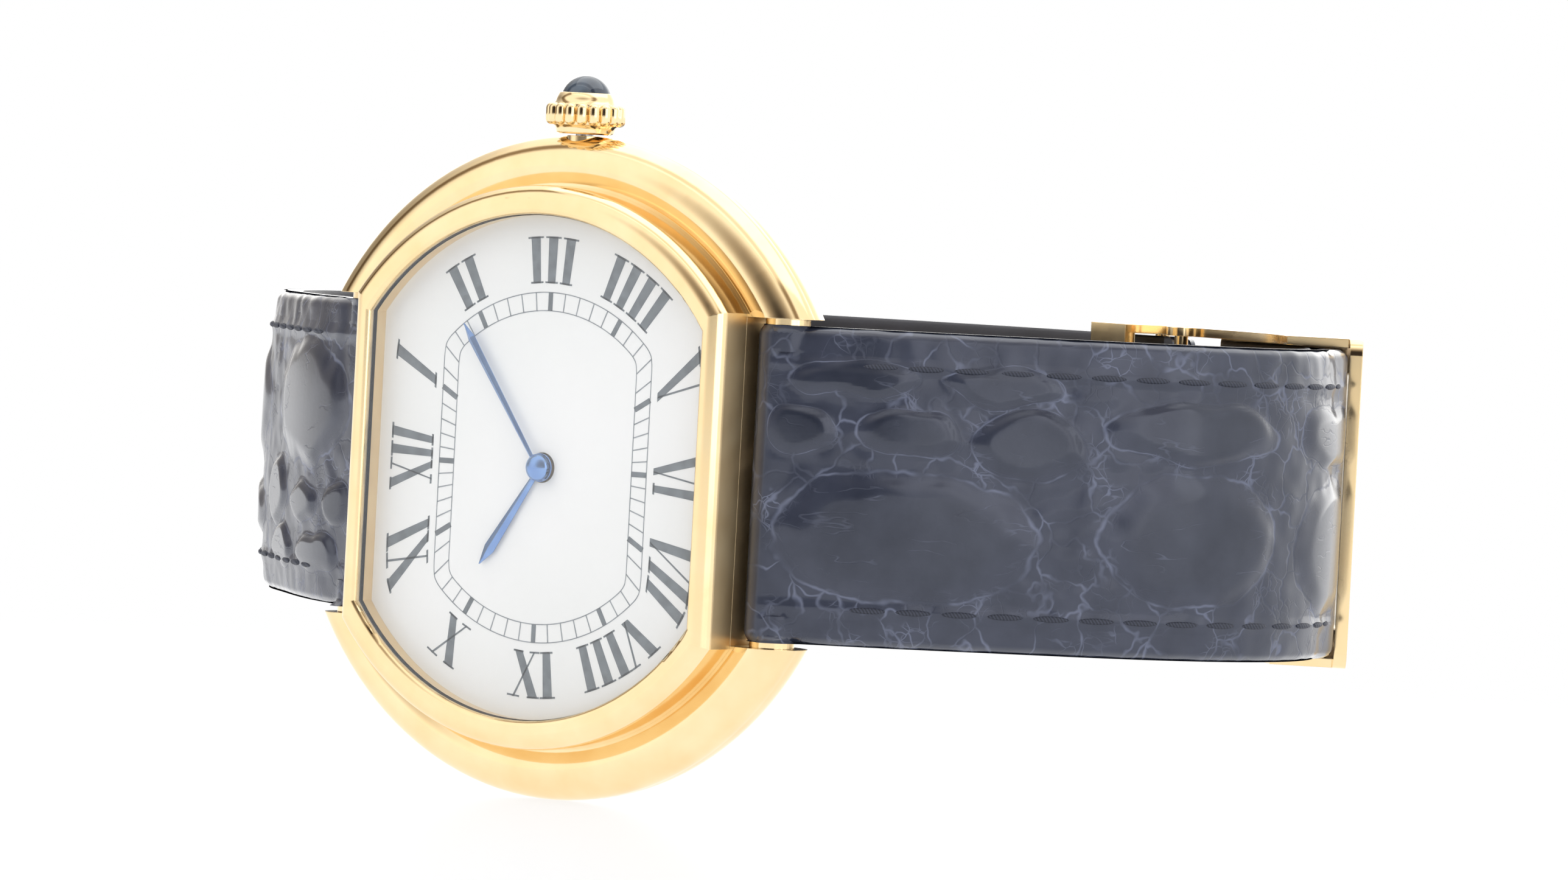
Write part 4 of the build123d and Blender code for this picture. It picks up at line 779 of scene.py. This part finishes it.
def leather_strip(name, upper, half, material, node):
    """One layer of a strap half as a closed skin: its side view carried across, and closed at the sides."""
    body, tip_angle, half_length, flip = half
    split = strap_thickness - lining_thickness
    outer_line = strap_line(tip_angle, 0 if upper else split, half_length)
    inner_line = strap_line(tip_angle, split if upper else strap_thickness, half_length)
    count = round(line_length(outer_line) / (face_step if upper else 2 * face_step))
    nose = half_turn(strap_end_radius) if upper else []
    outer = nose + evenly(outer_line, count)
    inner = evenly(inner_line, count)
    sleeve = sleeve_line(inner, round(sleeve_length / face_step)) if upper else inner
    inner = [inner[0]] * len(nose) + inner
    # The plain skin and the one with sleeves, each a ring round the side view with its middle line
    skins = []
    for under in (inner, sleeve):
        middle = [(a + b) / 2 for a, b in zip(outer, under)]
        skins.append((outer + under[::-1], middle + middle[::-1]))
    ring = skins[0][0]
    along = [0.0]
    for a, b in zip(outer, outer[1:]):
        along.append(along[-1] + (b - a).length)
    start = along[len(nose)]
    along = [length - start for length in along]
    total = along[-1]
    along += along[::-1]
    rows = len(ring)
    normals = []
    for i in range(rows):
        run = ring[(i + 1) % rows] - ring[i - 1]
        normals.append(Vector((-run.y, run.x)).normalized())
    # The lining is cut out at its corners by the case, where the lugs are
    notch_end = bar_offset + fold_notch_length
    by_the_case = [row for row in range(len(nose), len(outer)) if outer[row].y > -loop_depth / 2]
    notch_row = min(by_the_case, key=lambda row: abs(outer[row].x - notch_end))
    notch_high = outer[notch_row].y
    notch_low = inner[notch_row].y
    places = column_places()
    columns = len(places)
    bpy.ops.mesh.primitive_grid_add(x_subdivisions=columns - 1, y_subdivisions=rows, size=2.0)
    strip = bpy.context.object
    mesh = strip.data
    side = -1 if flip else 1
    nears = []
    flat = []
    for number, vertex in enumerate(mesh.vertices):
        i = (number // columns) % rows
        column = number % columns
        z = places[column]
        near = far_from_scale
        by_a_lug = abs(z) > strap_half_width - fold_notch_width
        folded = by_a_lug and upper
        skin, middle = skins[folded]
        if column in (0, columns - 1):
            point = middle[i].copy()
        else:
            edge = max(0.0, abs(z) - (strap_half_width - edge_round)) / edge_round
            reach = upper_round_share if upper else lining_round_share
            inset = edge_round * (1 - math.sqrt(max(0.0, 1 - edge * edge))) * reach
            if upper and i < len(outer):
                near = nearest_scale(along[i], z, flip)
                inset += face_inset(along[i], z, near, flip, total)
            point = skin[i] - normals[i] * inset
        if folded and i < len(outer) and (point - bar_centre).length < sleeve_outside:
            point = bar_centre + (point - bar_centre).normalized() * sleeve_outside
        if by_a_lug and not upper and point.x < notch_end and point.y > -loop_depth / 2:
            point = Vector((notch_end, min(notch_high, max(notch_low, point.y))))
        vertex.co = on_dial(z, side * -point.x, point.y)
        nears.append(near)
        flat.append((along[i], z))
    attribute = mesh.attributes.new("near", "FLOAT", "POINT")
    attribute.data.foreach_set("value", nears)
    for corner in mesh.loops:
        mesh.uv_layers[0].data[corner.index].uv = flat[corner.vertex_index]
    only(strip)
    face_outward(same_point)
    bpy.ops.object.shade_smooth_by_angle(angle=math.radians(50))
    settle(strip, name, material, body)
    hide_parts(node)


def stitching(name, half):
    """The saddle stitches along both edges of a strap half."""
    body, tip_angle, half_length, flip = half
    shape = strap_line(tip_angle, 0, half_length)
    steps = 8
    line = evenly(shape, round(line_length(shape) / (stitch_pitch / steps)))
    side = -1 if flip else 1
    stitches = []
    first = round(stitch_start / (stitch_pitch / steps))
    for start in range(first, len(line) - steps, steps):
        a = line[start]
        b = line[start + round(steps * stitch_length / stitch_pitch)]
        normal = Vector((-(b - a).y, (b - a).x)).normalized()
        share = (strap_half_width - stitch_inset) / strap_half_width
        middle = (a + b) / 2 - normal * (camber_drop * share ** 3 + stitch_groove + stitch_sink)
        for hand in (-1, 1):
            z = hand * (strap_half_width - stitch_inset)
            centre = on_dial(z, side * -middle.x, middle.y)
            run = on_dial(z, side * -b.x, b.y) - on_dial(z, side * -a.x, a.y)
            bpy.ops.mesh.primitive_uv_sphere_add(segments=10, ring_count=8, radius=1.0, location=(0, 0, 0))
            stitch = bpy.context.object
            turn = run.to_track_quat("Z", "Y").to_matrix().to_4x4()
            size = Matrix.Diagonal((stitch_radius * MM, stitch_radius * MM, stitch_length / 2 * MM, 1.0))
            stitch.data.transform(Matrix.Translation(centre) @ turn @ size)
            stitches.append(stitch)
    whole = joined(stitches)
    bpy.ops.object.shade_smooth()
    settle(whole, name, thread, body)


# Crown: a band of long beads between a neck and a tapering collar that holds the stone
crown_neck_length = 0.42
crown_band_length = 1.08
crown_band_radius = 1.68
crown_bead_radius = 0.29
crown_beads = 18
crown_steps = 72
crown_same_point = 0.001
# The outline of the turned body, as (radius, height)
crown_outline = [
    (0.0, 0.0), (1.3, 0.0), (1.42, 0.07), (1.45, 0.22), (1.5, 0.36), (1.6, 0.42), (1.64, 0.5),
    (1.64, 1.42), (1.6, 1.5), (1.54, 1.56), (1.47, 1.74), (1.36, 2.01), (1.3, 2.04), (0.0, 2.03),
]


def crown_piece():
    """The crown, modelled round its axis in millimetres, in place of the plain one."""
    low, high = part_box("crown")
    place = Vector(((low.x + high.x) / 2, (low.y + high.y) / 2, low.z))
    body = new_piece("crown_outline", [Vector((radius, 0, height)) for radius, height in crown_outline],
                     [(i, i + 1) for i in range(len(crown_outline) - 1)], [])
    bpy.ops.object.mode_set(mode="EDIT")
    bpy.ops.mesh.select_all(action="SELECT")
    bpy.ops.mesh.spin(steps=crown_steps, angle=2 * math.pi, center=(0, 0, 0), axis=(0, 0, 1))
    bpy.ops.object.mode_set(mode="OBJECT")
    face_outward(crown_same_point)
    bpy.ops.object.shade_smooth_by_angle(angle=math.radians(45))
    parts = [body]
    straight = crown_band_length / 2 - crown_bead_radius
    middle = crown_neck_length + crown_band_length / 2
    for bead in range(crown_beads):
        turn = 2 * math.pi * bead / crown_beads
        bpy.ops.mesh.primitive_uv_sphere_add(segments=16, ring_count=13, radius=crown_bead_radius)
        piece = bpy.context.object
        for vertex in piece.data.vertices:
            vertex.co.z += math.copysign(straight, vertex.co.z)
        piece.data.transform(Matrix.Translation((crown_band_radius * math.cos(turn),
                                                 crown_band_radius * math.sin(turn), middle)))
        bpy.ops.object.shade_smooth()
        parts.append(piece)
    whole = joined(parts)
    whole.data.transform(Matrix.Translation(place) @ Matrix.Scale(MM, 4))
    settle(whole, "crown_beaded", gold, "crown")
    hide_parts("crown")


# The object

dial_printing()
hands()
crown_piece()
six_half = ("strap_6", strap_6_tip_angle, loop_half_length, False)
twelve_half = ("strap_12", strap_12_tip_angle, loop_12_half_length, True)
leather_strip("strap_6_reptile", True, six_half, leather, "strap_6_upper")
leather_strip("strap_6_calf", False, six_half, lining, "strap_6_lining")
leather_strip("strap_12_reptile", True, twelve_half, leather, "strap_12_upper")
leather_strip("strap_12_calf", False, twelve_half, lining, "strap_12_lining")
stitching("strap_6_stitches", six_half)
stitching("strap_12_stitches", twelve_half)


# Studio

floor_size = 8.0
floor_middle = 2.0


def studio_floor():
    """A white sheet that the watch stands on, shown to the camera as nearly white with a faint shadow."""
    bpy.ops.mesh.primitive_plane_add(size=floor_size, location=(0, floor_middle, cad_low.z))
    floor = bpy.context.object
    floor.name = "floor"
    material, tree, _ = new_material("white_acrylic_sheet")
    sheet = add(tree, "BsdfPrincipled", {"Base Color": colour("f4f5f7"), "Roughness": 0.25})
    path = add(tree, "LightPath")
    shine = path.outputs["Is Glossy Ray"]
    strength = add(tree, "MapRange", {"Value": shine, "To Min": 1.0, "To Max": 1.25})
    glow = add(tree, "Emission", {"Color": colour("ffffff"), "Strength": strength})
    seen = add(tree, "Math", {0: path.outputs["Is Camera Ray"], 1: shine}, operation="MAXIMUM")
    # Away from the watch the sheet runs into the white behind it
    spot = add(tree, "NewGeometry").outputs["Position"]
    far = add(tree, "VectorMath", {0: spot}, operation="LENGTH").outputs["Value"]
    white = add(tree, "MapRange", {"Value": far, "From Min": 0.05, "From Max": 0.16, "To Min": 0.8,
                                   "To Max": 1.0}, **smooth)
    share = add(tree, "Math", {0: seen, 1: white}, operation="MULTIPLY")
    mixed = add(tree, "MixShader", {0: share, 1: sheet, 2: glow})
    add(tree, "OutputMaterial", {"Surface": mixed})
    floor.data.materials.append(material)


def studio_world():
    """White for the camera, a plain level of light, and in reflections a bright back and a dark front."""
    world = bpy.data.worlds.new("studio")
    bpy.context.scene.world = world
    world.use_nodes = True
    tree = world.node_tree
    tree.nodes.clear()
    path = add(tree, "LightPath")
    white = add(tree, "Background", {"Color": colour("ffffff"), "Strength": 1.0})
    direction = add(tree, "TexCoord").outputs["Generated"]
    # How far a direction points to the lens, the front, the side at 12 o'clock and the back
    to_lens, to_front, to_twelve, to_back = (
        add(tree, "VectorMath", {0: direction, 1: axis}, operation="DOT_PRODUCT").outputs["Value"]
        for axis in ((0.36, -0.93, 0.08), (0.0, -1.0, 0.0), (-1.0, 0.1, 0.0), (-0.3, 0.95, 0.0)))
    room = add(tree, "ValToRGB", {"Fac": to_lens}, [(0.6, "fffefb"), (0.78, "a89f96"), (0.92, "2f2b2a")])
    # A gap all round between the front and the back of the tent, and a dim side at 12 o'clock
    gap = add(tree, "ValToRGB", {"Fac": to_front},
              [(0.02, "ffffff"), (0.13, "8b7c6c"), (0.27, "8b7c6c"), (0.4, "ffffff")])
    dim = add(tree, "ValToRGB", {"Fac": to_twelve}, [(0.72, "ffffff"), (0.95, "8f8983")])
    walls = room
    for shade in (gap, dim):
        walls = add(tree, "Mix", {"Factor": 1.0, "A": walls, "B": shade}, data_type="RGBA",
                    blend_type="MULTIPLY").outputs["Result"]
    power = add(tree, "MapRange", {"Value": to_back, "From Min": 0.7, "From Max": 0.95, "To Min": 1.3,
                                   "To Max": 2.8}, **smooth)
    reflected = add(tree, "Background", {"Color": walls, "Strength": power})
    level = add(tree, "Background", {"Color": colour("f6f8ff"), "Strength": 0.62})
    shiny = add(tree, "MixShader", {0: path.outputs["Is Glossy Ray"], 1: level, 2: reflected})
    clear = add(tree, "Math", {0: path.outputs["Is Camera Ray"], 1: path.outputs["Is Transmission Ray"]},
                operation="MAXIMUM")
    seen = add(tree, "MixShader", {0: clear, 1: shiny, 2: white})
    add(tree, "OutputWorld", {"Surface": seen})


def lamp(name, place, size, watts, tint, mirrored=True):
    """A square soft box aimed at the watch, in metres, that may be left out of reflections."""
    data = bpy.data.lights.new(name, "AREA")
    data.shape = "RECTANGLE"
    data.size = size
    data.size_y = size
    data.energy = watts
    data.color = colour(tint)[:3]
    light = bpy.data.objects.new(name, data)
    bpy.context.scene.collection.objects.link(light)
    light.location = place
    light.visible_glossy = mirrored
    light.rotation_mode = "QUATERNION"
    light.rotation_quaternion = (-Vector(place)).to_track_quat("-Z", "Y")


def camera():
    """The photograph's view: angles in degrees, and its place in millimetres from the dial's centre."""
    azimuth, elevation, roll = 35.111, 1.518, 3.012
    place = Vector((277.41, -374.081 - back_depth, 14.314)) * MM
    a, e, r = (math.radians(x) for x in (azimuth, elevation, roll))
    back = Vector((math.sin(a) * math.cos(e), -math.cos(a) * math.cos(e), math.sin(e)))
    level = Vector((math.cos(a), math.sin(a), 0))
    rise = back.cross(level)
    right = level * math.cos(r) + rise * math.sin(r)
    up = rise * math.cos(r) - level * math.sin(r)
    data = bpy.data.cameras.new("camera")
    data.sensor_width = 36.0
    data.lens = 218.1
    data.clip_start = 0.01
    data.clip_end = 20.0
    view = bpy.data.objects.new("camera", data)
    bpy.context.scene.collection.objects.link(view)
    view.matrix_world = Matrix.Translation(place) @ Matrix((right, up, back)).transposed().to_4x4()
    bpy.context.scene.camera = view


studio_floor()
studio_world()
lamp("key", (-0.25, -0.35, 0.35), size=0.7, watts=1.95, tint="fffaf2", mirrored=False)
lamp("fill", (0.45, -0.15, 0.12), size=0.4, watts=0.7, tint="f4f7ff")
lamp("top", (0.0, 0.1, 0.5), size=0.7, watts=1.3, tint="ffffff")
camera()
bpy.context.scene.view_settings.view_transform = "Standard"
